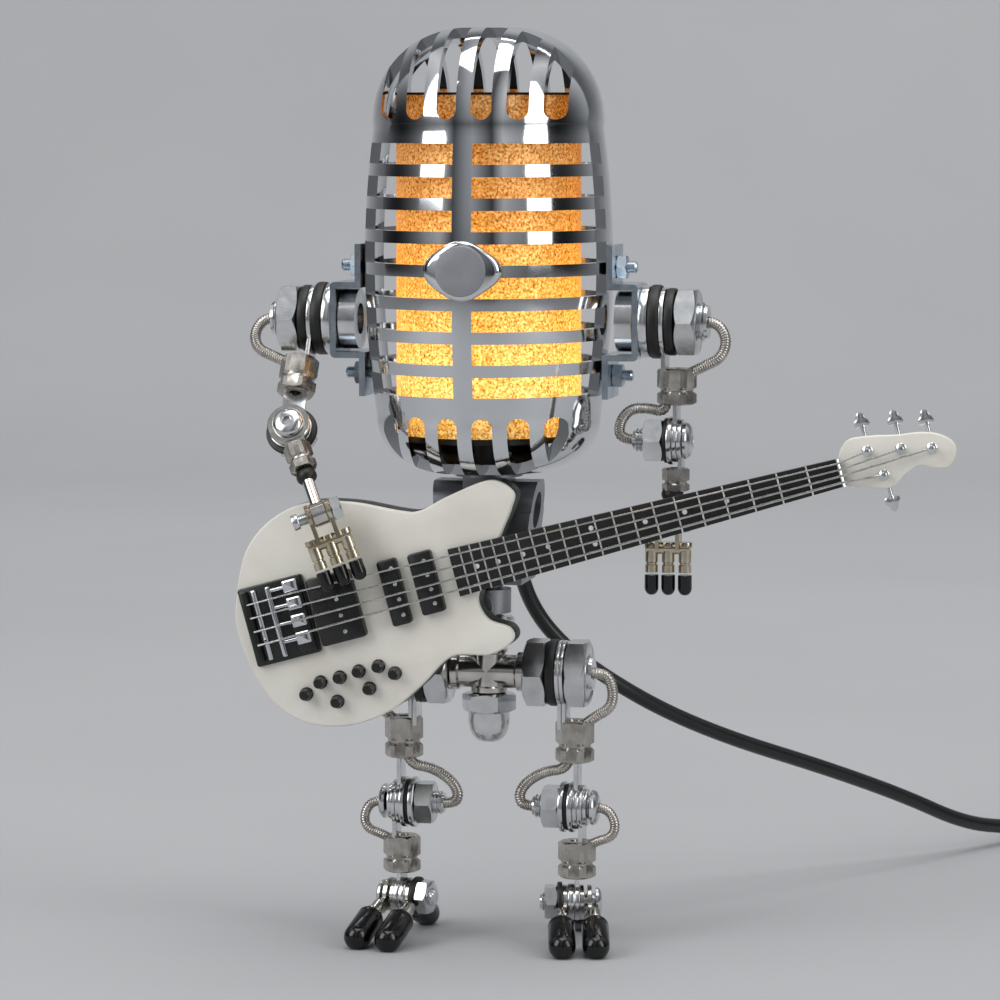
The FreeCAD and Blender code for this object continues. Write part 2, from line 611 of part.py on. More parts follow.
def right_arm():
    """The arm on -X, swung forward so that its hand plays over the guitar's face."""
    side = -1
    shoulder = SHOULDER_Z
    reach = RIGHT_REACH
    arm = lug(side, 44.05, shoulder, 8.5, M10_R + RUN, shoulder - 14.1)
    arm = arm.fuse(ferrule(-47.0, 0, shoulder - 21.7, shoulder - 12.1, 8.6))
    # The lower eye is turned a quarter turn, so the elbow bends across the figure.
    strip = bar(-50.0, -44.0, -0.55, 0.55, shoulder - reach, shoulder - 19.7)
    eye = rod(5.4, (-47.0, -0.55, shoulder - reach), (-47.0, 0.55, shoulder - reach))
    lower = strip.fuse(eye).cut(rod(M6_R + RUN, (-47, -9, shoulder - reach), (-47, 9, shoulder - reach)))
    arm = arm.fuse(lower)
    top = tube([(-52.0, 0, shoulder), (-58.6, 0, shoulder), (-58.6, 0, shoulder - 8.5), (-54.5, 0, shoulder - 10.9), (-49.6, 0, shoulder - 12.9)],
               HOSE_R)
    hose = top.cut(arm)
    z = shoulder - reach
    bolt = rod(M6_R, (-47, -3.0, z), (-47, 7.2, z)).fuse(
        at(dome_head(3.9, 1.8), (-47, -3.0, z), (0, -1, 0), (0, 0, 1)))
    nut = at(hexagon(M6_AF, 4.0, M6_R + RUN), (-47, 2.2, z), (0, 1, 0), (0, 0, 1))
    washer = rod(6.5, (-47, 0.65, z), (-47, 2.15, z), M6_R + RUN)
    pivot = V(side * 44.6, 0, shoulder)
    swing = RIGHT_SWING
    for shape in (arm, hose, bolt, nut, washer):
        shape.rotate(pivot, V(1, 0, 0), -swing)
    keep("right_upper_arm", arm)
    keep("right_upper_arm_hose", hose)
    keep("right_elbow_hardware", bolt, nut, washer)
    fore = rod(5.4, (-47, -2.9, z), (-47, -1.8, z)).fuse(bar(-49.6, -44.4, -2.9, -1.8, z - 8.0, z))
    fore = fore.fuse(at(hexagon(6.0, 7.5, 0, 0.2), (-47, -2.35, z - 14.0), (0, 0, 1), (0, 1, 0)))
    fore = fore.fuse(Part.makeSphere(2.2, V(-47, -2.35, z - 15.4)))
    fore = fore.fuse(rod(1.5, (-47, -2.35, z - 14.0), (-47, -2.35, z - WRIST_DROP)))
    fore = fore.fuse(rod(3.0, (-48.9, -2.35, z - WRIST_DROP), (-45.1, -2.35, z - WRIST_DROP)))
    fore = fore.cut(rod(1.5 + RUN, (-60, -2.35, z - WRIST_DROP), (-30, -2.35, z - WRIST_DROP)))
    fore = fore.cut(rod(M6_R + RUN, (-47, -9, z), (-47, 9, z)))
    centre = V(-47, 0, z)
    fore.rotate(centre, V(0, 1, 0), -ELBOW_TURN)
    fore.rotate(pivot, V(1, 0, 0), -swing)
    keep("right_forearm", fore)
    first = FreeCAD.Rotation(V(0, 1, 0), -ELBOW_TURN)
    second = FreeCAD.Rotation(V(1, 0, 0), -swing)
    wrist = centre + first.multVec(V(-47, -2.35, z - WRIST_DROP) - centre)
    wrist = pivot + second.multVec(wrist - pivot)
    across = second.multVec(first.multVec(V(1, 0, 0)))
    down = V(0, 1, 0).cross(across).normalize()
    hand("right", tuple(wrist), tuple(across), tuple(down))
    elbow = pivot + second.multVec(V(-47, -2.35, z) - pivot)
    return wrist, across, elbow, second.multVec(V(0, 1, 0))


def leg(side, name):
    """Thigh, shin and foot of one side, each bolted to the next on an X axis."""
    hip, knee, ankle = HIP_Z, KNEE_Z, ANKLE_Z
    thigh = lug(side, 18.1, hip, 8.2, M10_R + RUN, 55.0)
    thigh = thigh.fuse(lug(side, 19.2, hip, 8.2, M10_R + RUN, 55.0, t=0.95))
    thigh = thigh.fuse(ferrule(side * LEG_X, 0, 46.6, 57.0, 8.6))
    thigh = thigh.fuse(lug(side, 22.2, knee, 5.6, M6_R + RUN, 48.6, 6.0))
    keep(name + "_thigh", thigh.removeSplitter())
    top = tube([(side * 25.0, 0, hip), (side * 30.6, 0, hip), (side * 31.2, 0, 62.0), (side * 28.0, 0, 58.6),
                (side * 24.6, 0, 56.0)], HOSE_R)
    low = tube([(side * 20.6, -1.0, 48.2), (side * 20.4, -1.0, 45.2), (side * 13.0, -1.0, 43.2),
                (side * 8.4, -0.5, 38.6), (side * 9.2, 0, knee), (side * 14.4, 0, knee)], HOSE_R, 0.42)
    keep(name + "_thigh_hose", top.cut(thigh), low.cut(thigh))
    bolt = along_x(side, 11.4, 26.4, M6_R, knee).fuse(
        at(dome_head(4.4, 1.9), (side * 26.4, 0, knee), (side, 0, 0), (0, 0, 1)))
    bolt = bolt.cut(along_x(side, 10, 15.0, HOSE_R + 0.1, knee))
    bolt = bolt.cut(along_x(side, 26.0, 30, HOSE_R + 0.1, knee))
    keep(name + "_knee_hardware", bolt)
    keep(name + "_knee_hardware", nut_x(side, 14.0, 4.6, M6_AF, M6_R + RUN, knee))
    keep(name + "_knee_hardware", along_x(side, 18.65, 19.9, 6.4, knee, bore=M6_R + RUN))
    keep(name + "_knee_hardware", along_x(side, 19.95, 20.9, 5.6, knee, bore=M6_R + RUN))
    keep(name + "_knee_hardware", along_x(side, 20.95, 22.15, 6.4, knee, bore=M6_R + RUN))
    shin = lug(side, 23.4, knee, 5.6, M6_R + RUN, 24.0, 6.0)
    shin = shin.fuse(along_x(side, 24.5, 25.6, 4.6, knee, bore=M6_R + RUN))
    shin = shin.fuse(ferrule(side * 22.6, 0, 17.2, 26.4, 8.4))
    turn = side * SPLAY
    mid = V(side * 22.6, 0, 0)
    ankle_eye = lug(side, 22.05, ankle, 4.7, M6_R * 0.75 + RUN, 19.0, 4.6)
    ankle_eye.rotate(mid, V(0, 0, 1), turn)
    shin = shin.fuse(ankle_eye)
    keep(name + "_shin", shin)
    outer = tube([(side * 27.2, 0, knee), (side * 30.6, 0, 34.4), (side * 32.0, 0, 30.0), (side * 29.4, 0, 27.0),
                  (side * 24.6, 0, 24.6)], HOSE_R * 0.9)
    keep(name + "_shin_hose", outer.cut(shin))
    foot(side, name, mid, turn)


def foot(side, name, mid, turn):
    """The ankle's bolt, two forward toes and a heel toe, turned outward as one."""
    z = ANKLE_Z
    r = M6_R * 0.75
    at_x = abs(mid.x)
    bolt = along_x(side, at_x - 9.4, at_x + 4.8, r, z).fuse(
        at(dome_head(3.6, 1.5), (side * (at_x + 4.8), 0, z), (side, 0, 0), (0, 0, 1)))
    nut = nut_x(side, at_x - 8.2, 3.2, 8.0, r + RUN, z)
    black = along_x(side, at_x - 4.95, at_x - 3.7, 5.0, z, bore=r + RUN)
    inner = along_x(side, at_x - 2.4, at_x - 0.65, 4.6, z, bore=r + RUN)
    hardware = [bolt, nut, black, inner]
    toes = []
    caps = []
    lean = math.radians(TOE_LEAN)
    for x, back in ((at_x - 3.05, 1), (at_x + 3.15, 1), (at_x + 1.2, -1)):
        plate = along_x(side, x - 0.55, x + 0.55, 4.3, z)
        shift = math.copysign(TOE_SPREAD, x - at_x) if back > 0 else 0.0
        root = V(side * (x + shift), -back * TOE_ROOT * math.cos(lean), z - TOE_ROOT * math.sin(lean))
        away = V(0, -back * math.cos(lean), -math.sin(lean))
        strip = Part.makeBox(3.4, 1.1, TOE_ROOT, V(-1.7, -0.55, 0))
        strip = at(strip, (side * x, 0, z), tuple(away), (1, 0, 0))
        bend = rod(1.7, (side * x, root.y - away.y * 1.6, root.z - away.z * 1.6), tuple(root + away * 1.5))
        neck = Part.makeCylinder(1.8, 4.0, root + away * 1.0, away)
        collar = Part.makeCylinder(2.6, 1.2, root + away * 2.4, away)
        barrel = bend.fuse([neck, collar]).cut(along_x(side, x - 6, x + 6, 5.3, z))
        toe = plate.fuse([strip, barrel]).cut(along_x(side, x - 4, x + 4, r + RUN, z))
        toes.append(toe)
        length = TOE_CAP_L
        cap = spin([
            (0, 0), (TOE_R - 0.5, 0), (TOE_R, 0.5), (TOE_R, length - TOE_R),
            ((TOE_R * 0.707, length - TOE_R * 0.293), (POLE, length)), (0, length), (0, 0),
        ])
        start = root + away * TOE_CAP_START
        cap = at(cap, tuple(start), tuple(away), (1, 0, 0))
        cap = cap.cut(toe)
        caps.append(cap.cut(bar(-80, 80, -80, 80, -20, 0)))
    for piece in hardware + toes + caps:
        piece.rotate(mid, V(0, 0, 1), turn)
    keep(name + "_ankle_hardware", *hardware)
    keep(name + "_foot", *toes)
    keep(name + "_toe_caps", *caps)


def on_guitar(shape):
    """Turn a shape drawn flat (along the neck = X, across = Y, out of the face = Z) onto the guitar."""
    turned = shape.copy()
    turned.rotate(V(0, 0, 0), V(1, 0, 0), 90)
    turned.rotate(V(0, 0, 0), V(0, 1, 0), -NECK_RISE)
    turned.translate(V(GUITAR_X, GUITAR_FACE_Y, GUITAR_Z))
    return turned


def guitar():
    outline = [
        (-58.0, -2.0), (-56.4, 6.5), (-50.6, 18.0), (-42.0, 24.2), (-32.0, 25.9), (-21.0, 23.2), (-10.0, 18.2),
        (-5.0, 16.9), (3.0, 18.6), (14.0, 19.8), (19.0, 15.6), (17.4, 11.6), (14.2, 7.4), (11.0, 3.0), (6.5, -3.2),
        (3.4, -8.0), (4.6, -13.2), (9.3, -16.6), (9.0, -20.0), (2.6, -21.8), (-6.8, -20.0), (-16.4, -25.2),
        (-26.0, -29.4), (-37.5, -30.2), (-48.6, -26.0), (-55.6, -16.4),
    ]
    curve = Part.BSplineCurve()
    curve.interpolate([V(x, y, 0) for x, y in outline], PeriodicFlag=True)
    body = Part.Face(Part.Wire(curve.toShape())).extrude(V(0, 0, -GUITAR_T))
    socket = Part.Face(Part.makePolygon([
        V(-2.0, NECK_W0 / 2, 0), V(30, NECK_W0 / 2, 0), V(30, -NECK_W0 / 2, 0), V(-2.0, -NECK_W0 / 2, 0),
        V(-2.0, NECK_W0 / 2, 0)])).extrude(V(0, 0, -NECK_T + BOARD_T))
    body = body.cut(socket)
    bolt_hole = Part.makeCylinder(2.0, 5.0, V(GUITAR_STUD[0], GUITAR_STUD[1], -GUITAR_T))
    body = body.cut(bolt_hole)
    keep("guitar_body", on_guitar(body))
    half0, half1 = NECK_W0 / 2, NECK_W1 / 2
    blade = [V(0, half0 - 0.1, 0), V(NECK_L, half1, 0), V(NECK_L, -half1, 0), V(0, 0.1 - half0, 0)]
    neck = Part.Face(Part.makePolygon(blade + [blade[0]])).extrude(V(0, 0, -(NECK_T - BOARD_T) + 0.05))
    rear = [e for e in neck.Edges if e.BoundBox.ZMax < -2.5 and e.Length > NECK_L * 0.9]
    neck = neck.makeFillet(1.6, rear)
    tip = Part.BSplineCurve()
    head_pts = [
        (NECK_L, half1), (NECK_L + 3.6, 7.4), (NECK_L + 15.0, 5.4), (NECK_L + 24.6, 3.2), (NECK_L + 28.2, -1.6),
        (NECK_L + 25.4, -5.6), (NECK_L + 20.4, -4.0), (NECK_L + 16.0, -4.2), (NECK_L + 10.6, -6.8),
        (NECK_L + 5.0, -5.0), (NECK_L, -half1),
    ]
    tip.interpolate([V(x, y, 0) for x, y in head_pts])
    close = Part.makeLine(V(NECK_L, -half1, 0), V(NECK_L, half1, 0))
    head = Part.Face(Part.Wire([tip.toShape(), close])).extrude(V(0, 0, -2.6))
    neck = neck.fuse(head)
    keep("guitar_neck", on_guitar(neck))
    board = [V(-0.4, half0, 0), V(NECK_L, half1, 0), V(NECK_L, -half1, 0), V(-0.4, -half0, 0)]
    fingerboard = Part.Face(Part.makePolygon(board + [board[0]])).extrude(V(0, 0, BOARD_T))
    keep("fingerboard", on_guitar(fingerboard))
    scale_l = 140.0
    wires = []
    for n in range(1, FRETS + 1):
        x = NECK_L - scale_l * (1 - 2 ** (-n / 12.0))
        half = half1 + (half0 - half1) * (NECK_L - x) / NECK_L
        wires.append(on_guitar(bar(x - 0.2, x + 0.2, -half, half, BOARD_T, BOARD_T + 0.35)))
    wires.append(on_guitar(bar(NECK_L - 0.5, NECK_L + 0.5, -half1, half1, BOARD_T + 0.0, BOARD_T + 0.9)))
    keep("frets", *wires)
    plate = bar(-55.0, -38.0, -10.6, 9.4, 0.02, 1.4)
    ridge = bar(-46.4, -44.4, -9.6, 8.4, 1.4, 3.0)
    saddles = [bar(-43.6, -39.6, -7.6 + 4.6 * k, -4.2 + 4.6 * k, 1.4, 2.9) for k in range(STRINGS)]
    tail = bar(-54.4, -52.8, -9.6, 8.4, 1.4, 2.6)
    keep("bridge", on_guitar(plate.fuse([ridge, tail] + saddles)))
    for x0, x1, y0, y1, h in PICKUPS:
        block = bar(x0, x1, y0, y1, 0.02, h)
        upright = [e for e in block.Edges if e.BoundBox.ZLength > h * 0.9]
        keep("pickups_and_knobs", on_guitar(block.makeFillet(0.8, upright)))
    for x, y in KNOBS:
        knob = Part.makeCone(1.7, 1.35, 3.0, V(x, y, 0.02))
        keep("pickups_and_knobs", on_guitar(knob))
    for k in range(STRINGS):
        y0 = -5.2 + 3.46 * k
        y1 = -2.3 + 1.55 * k
        z0, z1 = 3.3, BOARD_T + 1.15
        line = rod(STRING_R, (-53.0, y0, z0), (NECK_L, y1, z1))
        post_x, post_y, _ = TUNERS[(3, 2, 1, 0)[k]]
        run = V(post_x - NECK_L, post_y - y1, 0)
        stop = V(NECK_L, y1, 0) + run * (1 - (0.92 + STRING_R) / run.Length)
        keep("strings", on_guitar(line.fuse(rod(STRING_R, (NECK_L, y1, z1), (stop.x, stop.y, 1.2)))))
    for x, y, side in TUNERS:
        post = Part.makeCylinder(0.9, 2.4, V(x, y, 0.02))
        shaft = rod(0.5, (x, y, -3.3), (x, y + side * 5.4, -3.3))
        key = Part.makeCylinder(2.2, 1.0, V(x, y + side * 6.2, -3.8))
        case = bar(x - 1.5, x + 1.5, y - 1.5, y + 1.5, -4.2, -2.62)
        keep("tuners", on_guitar(post), on_guitar(case.fuse([shaft, key])))
    # A bolted bracket holds the guitar to the stem.
    stud_y = GUITAR_FACE_Y + GUITAR_T
    sx, sz = stud_place()
    clamp = rod(STEM_R + 2.0, (0, 0, sz - 3.0), (0, 0, sz + 3.0), STEM_R + 0.02)
    arm = rod(1.95, (0, -STEM_R - 0.4, sz), (0, stud_y - 4.8, sz))
    pad = rod(3.8, (0, stud_y + 0.05, sz), (0, stud_y + 1.5, sz))
    keep("guitar_bracket", clamp.fuse([arm, pad]))


def stud_place():
    """The world X and Z of the guitar's stud."""
    turn = math.radians(NECK_RISE)
    x, y = GUITAR_STUD
    return (
        GUITAR_X + x * math.cos(turn) - y * math.sin(turn),
        GUITAR_Z + x * math.sin(turn) + y * math.cos(turn),
    )


def cord_heading():
    """The plan direction in which the lead reaches the switch, and the point where it does."""
    a, b = V(*LEAD[-2]), V(*LEAD[-1])
    u = V(b.x - a.x, b.y - a.y, 0).normalize()
    return u, V(b.x, b.y, 0)


def biarc(p0, t0, p1, t1):
    """Two arcs that leave p0 along t0 and reach p1 along t1."""
    v = p1 - p0
    t = t0 + t1
    k = 2 * (1 - t0.dot(t1))
    d = (-v.dot(t) + math.sqrt(v.dot(t) ** 2 + k * v.dot(v))) / k
    joint = (p0 + p1 + (t0 - t1) * d) * 0.5
    return [arc_from(p0, t0, joint), arc_from(p1, t1 * -1, joint)]


def arc_from(p, t, q):
    """The arc through p and q that is tangent to t at p, with its ends ordered p to q."""
    chord = q - p
    side = chord - t * chord.dot(t)
    side = V(side).normalize()
    radius = chord.dot(chord) / (2 * chord.dot(side))
    centre = p + side * radius
    middle = centre + V((p + q) * 0.5 - centre).normalize() * radius
    return (p, middle, q)


def coil_point(turns, centre, start_angle, way):
    """A point of the coil after so many turns: it spirals in and out, and climbs where the spiral reverses."""
    span = COIL_TURNS + 0.5
    layer = min(int(turns / span), COIL_LAYERS - 1)
    within = turns - layer * span
    swing = COIL_PITCH * COIL_TURNS / 2
    share = min(within, COIL_TURNS) / COIL_TURNS
    r = COIL_R + swing - 2 * swing * share
    if layer % 2:
        r = 2 * COIL_R - r
    climb = max(0.0, within - COIL_TURNS) / 0.5
    z = CORD_R + 0.02 + (layer + climb * climb * (3 - 2 * climb)) * (2 * CORD_R + 0.45)
    r += (1 if layer % 2 else -1) * CLIMB_ASIDE * math.sin(math.pi * climb)
    angle = start_angle + way * 2 * math.pi * turns
    return centre + V(r * math.cos(angle), r * math.sin(angle), z)


def pipe(arcs, r, sides):
    edges = []
    for a, m, b in arcs:
        edges.append(Part.Arc(a, m, b).toShape())
    path = Part.Wire(edges)
    start = path.Edges[0]
    p = arcs[0][0]
    ahead = start.tangentAt(start.FirstParameter)
    ring = Part.makeCircle(r, p, ahead) if not sides else None
    if sides:
        up = V(0, 0, 1)
        out = ahead.cross(up).normalize()
        up = out.cross(ahead)
        reach = r / math.cos(math.pi / sides) * 0.985
        corners = []
        for k in range(sides):
            turn = math.pi * (2 * k + 1) / sides
            corners.append(p + out * (reach * math.cos(turn)) + up * (reach * math.sin(turn)))
        ring = Part.makePolygon(corners + [corners[0]])
    return path.makePipeShell([Part.Wire(ring)], True, False)


def cord():
    u, end = cord_heading()
    relief_y = BLOCK_D / 2
    z = LEAD[0][2]
    keep("strain_relief", at(Part.makeCone(3.4, 2.5, LEAD[0][1] - relief_y), (0, relief_y, z), (0, 1, 0), (0, 0, 1)))
    edges, radii = rounded_path(LEAD)
    print("lead radii", [round(r, 1) for r in radii])
    keep("cord_lead", tube(LEAD, CORD_R))
    across = V(-u.y, u.x, 0)
    cord_z = LEAD[-1][2]

    def on_switch(shape, lift=0.0):
        return at(shape, (end.x, end.y, lift), (0, 0, 1), (across.x, across.y, 0))

    case = Part.makeBox(SWITCH_L, SWITCH_W, SWITCH_H, V(0, -SWITCH_W / 2, 0))
    upright = [e for e in case.Edges if e.BoundBox.ZLength > SWITCH_H * 0.9]
    case = case.makeFillet(5.0, upright)
    window = Part.makeBox(13.0, 8.0, 8.0, V(SWITCH_L / 2 - 6.5, -4.0, SWITCH_H - 4.2))
    case = case.cut(window)
    axle_z = SWITCH_H - 1.6
    bore = Part.makeCylinder(0.8 + RUN, 11.0, V(SWITCH_L / 2, -5.5, axle_z), V(0, 1, 0))
    keep("switch_case", on_switch(case.cut(bore)))
    wedge = [V(-6.0, 0, -1.4), V(6.0, 0, -1.4), V(6.0, 0, 1.3), V(0, 0, 0.7), V(-6.0, 0, 1.3)]
    rocker = Part.Face(Part.makePolygon(wedge + [wedge[0]])).extrude(V(0, 7.6, 0))
    rocker.translate(V(SWITCH_L / 2, -3.8, axle_z + 0.6))
    rocker = rocker.fuse(Part.makeCylinder(0.8, 10.6, V(SWITCH_L / 2, -5.3, axle_z), V(0, 1, 0)))
    rocker.rotate(V(SWITCH_L / 2, 0, axle_z), V(0, 1, 0), ROCKER_REST)
    keep("switch_rocker", on_switch(rocker))
    # The coil starts where the lead leaves the switch.
    start = end + u * SWITCH_L
    swing = COIL_PITCH * COIL_TURNS / 2
    way = COIL_WAY
    tangent_at = start + u * COIL_AFTER
    centre = tangent_at + across * (way * (COIL_R + swing))
    start_angle = math.atan2(-across.y * way, -across.x * way)
    total = COIL_LAYERS * COIL_TURNS + (COIL_LAYERS - 1) * 0.5
    steps = int(total * 4)
    stops = [k / 4.0 for k in range(steps)] + [total]

    def heading(t):
        h = 0.0005
        ahead = coil_point(t + h, centre, start_angle, way) - coil_point(max(t - h, 0), centre, start_angle, way)
        return V(ahead).normalize()

    arcs = []
    first, first_t = coil_point(0, centre, start_angle, way), heading(0.0001)
    entry = V(start.x, start.y, cord_z)
    lead_in = biarc_or_line(entry, V(u), first, first_t)
    arcs += lead_in
    for a, b in zip(stops, stops[1:]):
        if b - a < 1e-9:
            continue
        p0, p1 = coil_point(a, centre, start_angle, way), coil_point(b, centre, start_angle, way)
        t0 = heading(a) if a else first_t
        pair = biarc(p0, t0, p1, heading(b))
        arcs.append(pair[0])
        arcs.append((pair[1][2], pair[1][1], pair[1][0]))
    # The tail comes down beside the coil to the plug on the floor.
    last, last_t = coil_point(total, centre, start_angle, way), heading(total)
    flat = V(last_t.x, last_t.y, 0).normalize()
    side = V(-flat.y, flat.x, 0)
    drop = last + flat * 46.0 + side * (way * 9.0)
    plug_dir = V(flat + side * (way * 0.45)).normalize()
    floor = V(drop.x, drop.y, PLUG_H / 2)
    for pair in (biarc(last, last_t, floor, plug_dir),):
        arcs.append(pair[0])
        arcs.append((pair[1][2], pair[1][1], pair[1][0]))
    solid = pipe(arcs, CORD_R, CORD_SIDES)
    length = sum(Part.Arc(*a).length() for a in arcs)
    print("coil length", round(length, 1), "lead length", round(sum(e.Length for e in edges), 1))
    print("coil valid", solid.isValid(), "volume ratio", round(solid.Volume / (math.pi * CORD_R ** 2 * length), 3))
    keep("cord_coil", solid)
    report_gap(centre, start_angle, way, total)
    plug = plug_shape()
    across_p = V(-plug_dir.y, plug_dir.x, 0)
    keep("cord_plug", at(plug, (floor.x, floor.y, PLUG_H / 2), (0, 0, 1), (across_p.x, across_p.y, 0)))
    tie_angle = start_angle + way * math.pi * 0.5
    mid = centre + V(COIL_R * math.cos(tie_angle), COIL_R * math.sin(tie_angle), 0)
    out = V(math.cos(tie_angle), math.sin(tie_angle), 0)
    height = CORD_R * 2 + (COIL_LAYERS - 1) * (2 * CORD_R + 0.45)
    half = swing + CORD_R + 0.6
    band_out = Part.makeBox(2 * half + 1.6, 5.0, height + 1.3, V(-half - 0.8, -2.5, 0))
    band_in = Part.makeBox(2 * half, 6.0, height + 0.5 - TIE_UNDER, V(-half, -3.0, TIE_UNDER))
    band = at(band_out.cut(band_in), tuple(mid), (0, 0, 1), (-out.y, out.x, 0))
    keep("cord_tie", band)


def biarc_or_line(p0, t0, p1, t1):
    pair = biarc(p0, t0, p1, t1)
    return [pair[0], (pair[1][2], pair[1][1], pair[1][0])]


def report_gap(centre, start_angle, way, total):
    """Print the least gap between turns of the coil, measured on points."""
    count = int(total * 72)
    points = [coil_point(total * k / count, centre, start_angle, way) for k in range(count + 1)]
    least = 1e9
    for i in range(0, count + 1, 2):
        for j in range(i + 36, count + 1):
            least = min(least, (points[i] - points[j]).Length)
    print("coil least gap", round(least - 2 * CORD_R, 2))


def plug_shape():
    """A USB-A plug: a moulded grip and its steel shell, along X from its cord end."""
    grip = Part.makeBox(26.0, 15.5, PLUG_H, V(0, -7.75, -PLUG_H / 2))
    long_edges = [e for e in grip.Edges if e.BoundBox.XLength > 20]
    grip = grip.makeFillet(2.2, long_edges)
    shell = Part.makeBox(12.0, 12.0, 4.5, V(26.0, -6.0, -2.25))
    throat = Part.makeBox(11.0, 11.4, 3.9, V(27.1, -5.7, -1.95))
    tongue = Part.makeBox(10.0, 11.0, 1.8, V(26.8, -5.5, 0.0))
    return grip.fuse(shell.cut(throat)).fuse(tongue)


head_shells()
lamp_inside()
swivel()
trunk()
hip_set()
for s in (1, -1):
    shoulder_set(s)
left_arm()
right_wrist, right_across, right_elbow, right_elbow_axis = right_arm()
leg(1, "left")
leg(-1, "right")
guitar()
cord()

CORD_NODES = ("strain_relief", "cord_lead", "cord_coil", "cord_tie", "cord_plug", "switch_case", "switch_rocker")


def middle_of_box():
    """The centre, in plan, of the box round everything that isn't on the cord."""
    box = FreeCAD.BoundBox()
    for name, solids in made.items():
        if name in CORD_NODES:
            continue
        for solid in solids:
            box.add(solid.optimalBoundingBox(False))
    return V(-box.Center.x, -box.Center.y, 0), box


origin_shift, whole_box = middle_of_box()

os.makedirs("parts", exist_ok=True)
for name, solids in made.items():
    moved = []
    for solid in solids:
        piece = solid.copy()
        piece.translate(origin_shift)
        moved.extend(piece.Solids)
    node = moved[0] if len(moved) == 1 else Part.makeCompound(moved)
    node.exportStep("parts/" + name + ".step")
print("nodes", len(made), "origin shift", origin_shift, "box", whole_box)
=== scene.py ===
import math

import bmesh
import bpy
from mathutils import Matrix, Vector


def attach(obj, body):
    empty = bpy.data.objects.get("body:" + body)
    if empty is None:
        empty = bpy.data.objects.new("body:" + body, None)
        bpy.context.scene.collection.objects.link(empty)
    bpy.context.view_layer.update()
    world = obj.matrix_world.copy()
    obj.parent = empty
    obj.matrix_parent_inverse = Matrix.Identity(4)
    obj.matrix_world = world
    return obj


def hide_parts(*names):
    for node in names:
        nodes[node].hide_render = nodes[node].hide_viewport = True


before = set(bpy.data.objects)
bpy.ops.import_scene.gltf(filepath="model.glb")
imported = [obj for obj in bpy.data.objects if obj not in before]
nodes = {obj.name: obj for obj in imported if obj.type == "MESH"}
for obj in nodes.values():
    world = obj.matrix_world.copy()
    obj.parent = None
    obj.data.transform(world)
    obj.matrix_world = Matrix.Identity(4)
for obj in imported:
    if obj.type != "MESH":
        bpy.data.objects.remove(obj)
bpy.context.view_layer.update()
scene = bpy.context.scene


# Studio
# A seamless grey paper sweep under and behind the figure, with a long lens a metre away.
# Two soft boxes and a top light draw the long highlights on the chrome.
def colour(code):
    """A hex colour as the linear values that a shader takes."""
    parts = [int(code[k:k + 2], 16) / 255 for k in (1, 3, 5)]
    return [c / 12.92 if c <= 0.04045 else ((c + 0.055) / 1.055) ** 2.4 for c in parts] + [1.0]


def add(mat, kind, settings=None, inputs=None):
    """Add one node with its settings, and set or link its inputs by name or number."""
    node = mat.node_tree.nodes.new("ShaderNode" + kind)
    for key, value in (settings or {}).items():
        setattr(node, key, value)
    for key, value in (inputs or {}).items():
        socket = node.inputs[key]
        if isinstance(value, bpy.types.NodeSocket):
            mat.node_tree.links.new(value, socket)
        else:
            socket.default_value = value
    return node


def new_material(name):
    """An empty material with nodes."""
    mat = bpy.data.materials.new(name)
    mat.use_nodes = True
    mat.node_tree.nodes.clear()
    return mat


def grain(mat, size_mm, detail=3.0, rough=0.55):
    """Noise whose lumps are about size_mm across on the piece."""
    where = add(mat, "TexCoord")
    return add(mat, "TexNoise", {}, {
        "Vector": where.outputs["Object"], "Scale": 1000.0 / size_mm, "Detail": detail,
        "Roughness": rough}).outputs[0]


def ramp(mat, value, stops, mode="LINEAR"):
    """A colour band over a value, as a list of position and hex colour."""
    band = add(mat, "ValToRGB", {}, {0: value})
    band.color_ramp.interpolation = mode
    marks = band.color_ramp.elements
    while len(marks) < len(stops):
        marks.new(0.5)
    for mark, (where, code) in zip(marks, stops):
        mark.position = where
        mark.color = colour(code)
    return band.outputs["Color"]


def bumped(mat, height, strength, depth_mm):
    """Relief of depth_mm from a height value."""
    return add(mat, "Bump", {}, {"Height": height, "Strength": strength,
                                 "Distance": depth_mm / 1000}).outputs["Normal"]


def ranged(mat, value, low, high, start=0.0, end=1.0):
    """A value from start to end, spread from low to high."""
    return add(mat, "MapRange", {}, {
        "Value": value, "From Min": start, "From Max": end, "To Min": low,
        "To Max": high}).outputs["Result"]


def surface(mat, inputs):
    """The Principled surface of a material and its output."""
    shader = add(mat, "BsdfPrincipled", {}, inputs)
    add(mat, "OutputMaterial", {}, {"Surface": shader.outputs[0]})
    return mat


# Matt background paper: an even grey with a faint mottle.
paper = new_material("grey_paper_sweep")
surface(paper, {
    "Base Color": ramp(paper, grain(paper, 400.0), [(0.3, "#A9AAAC"), (0.7, "#AFB0B2")]),
    "Roughness": 0.92, "Specular IOR Level": 0.2})

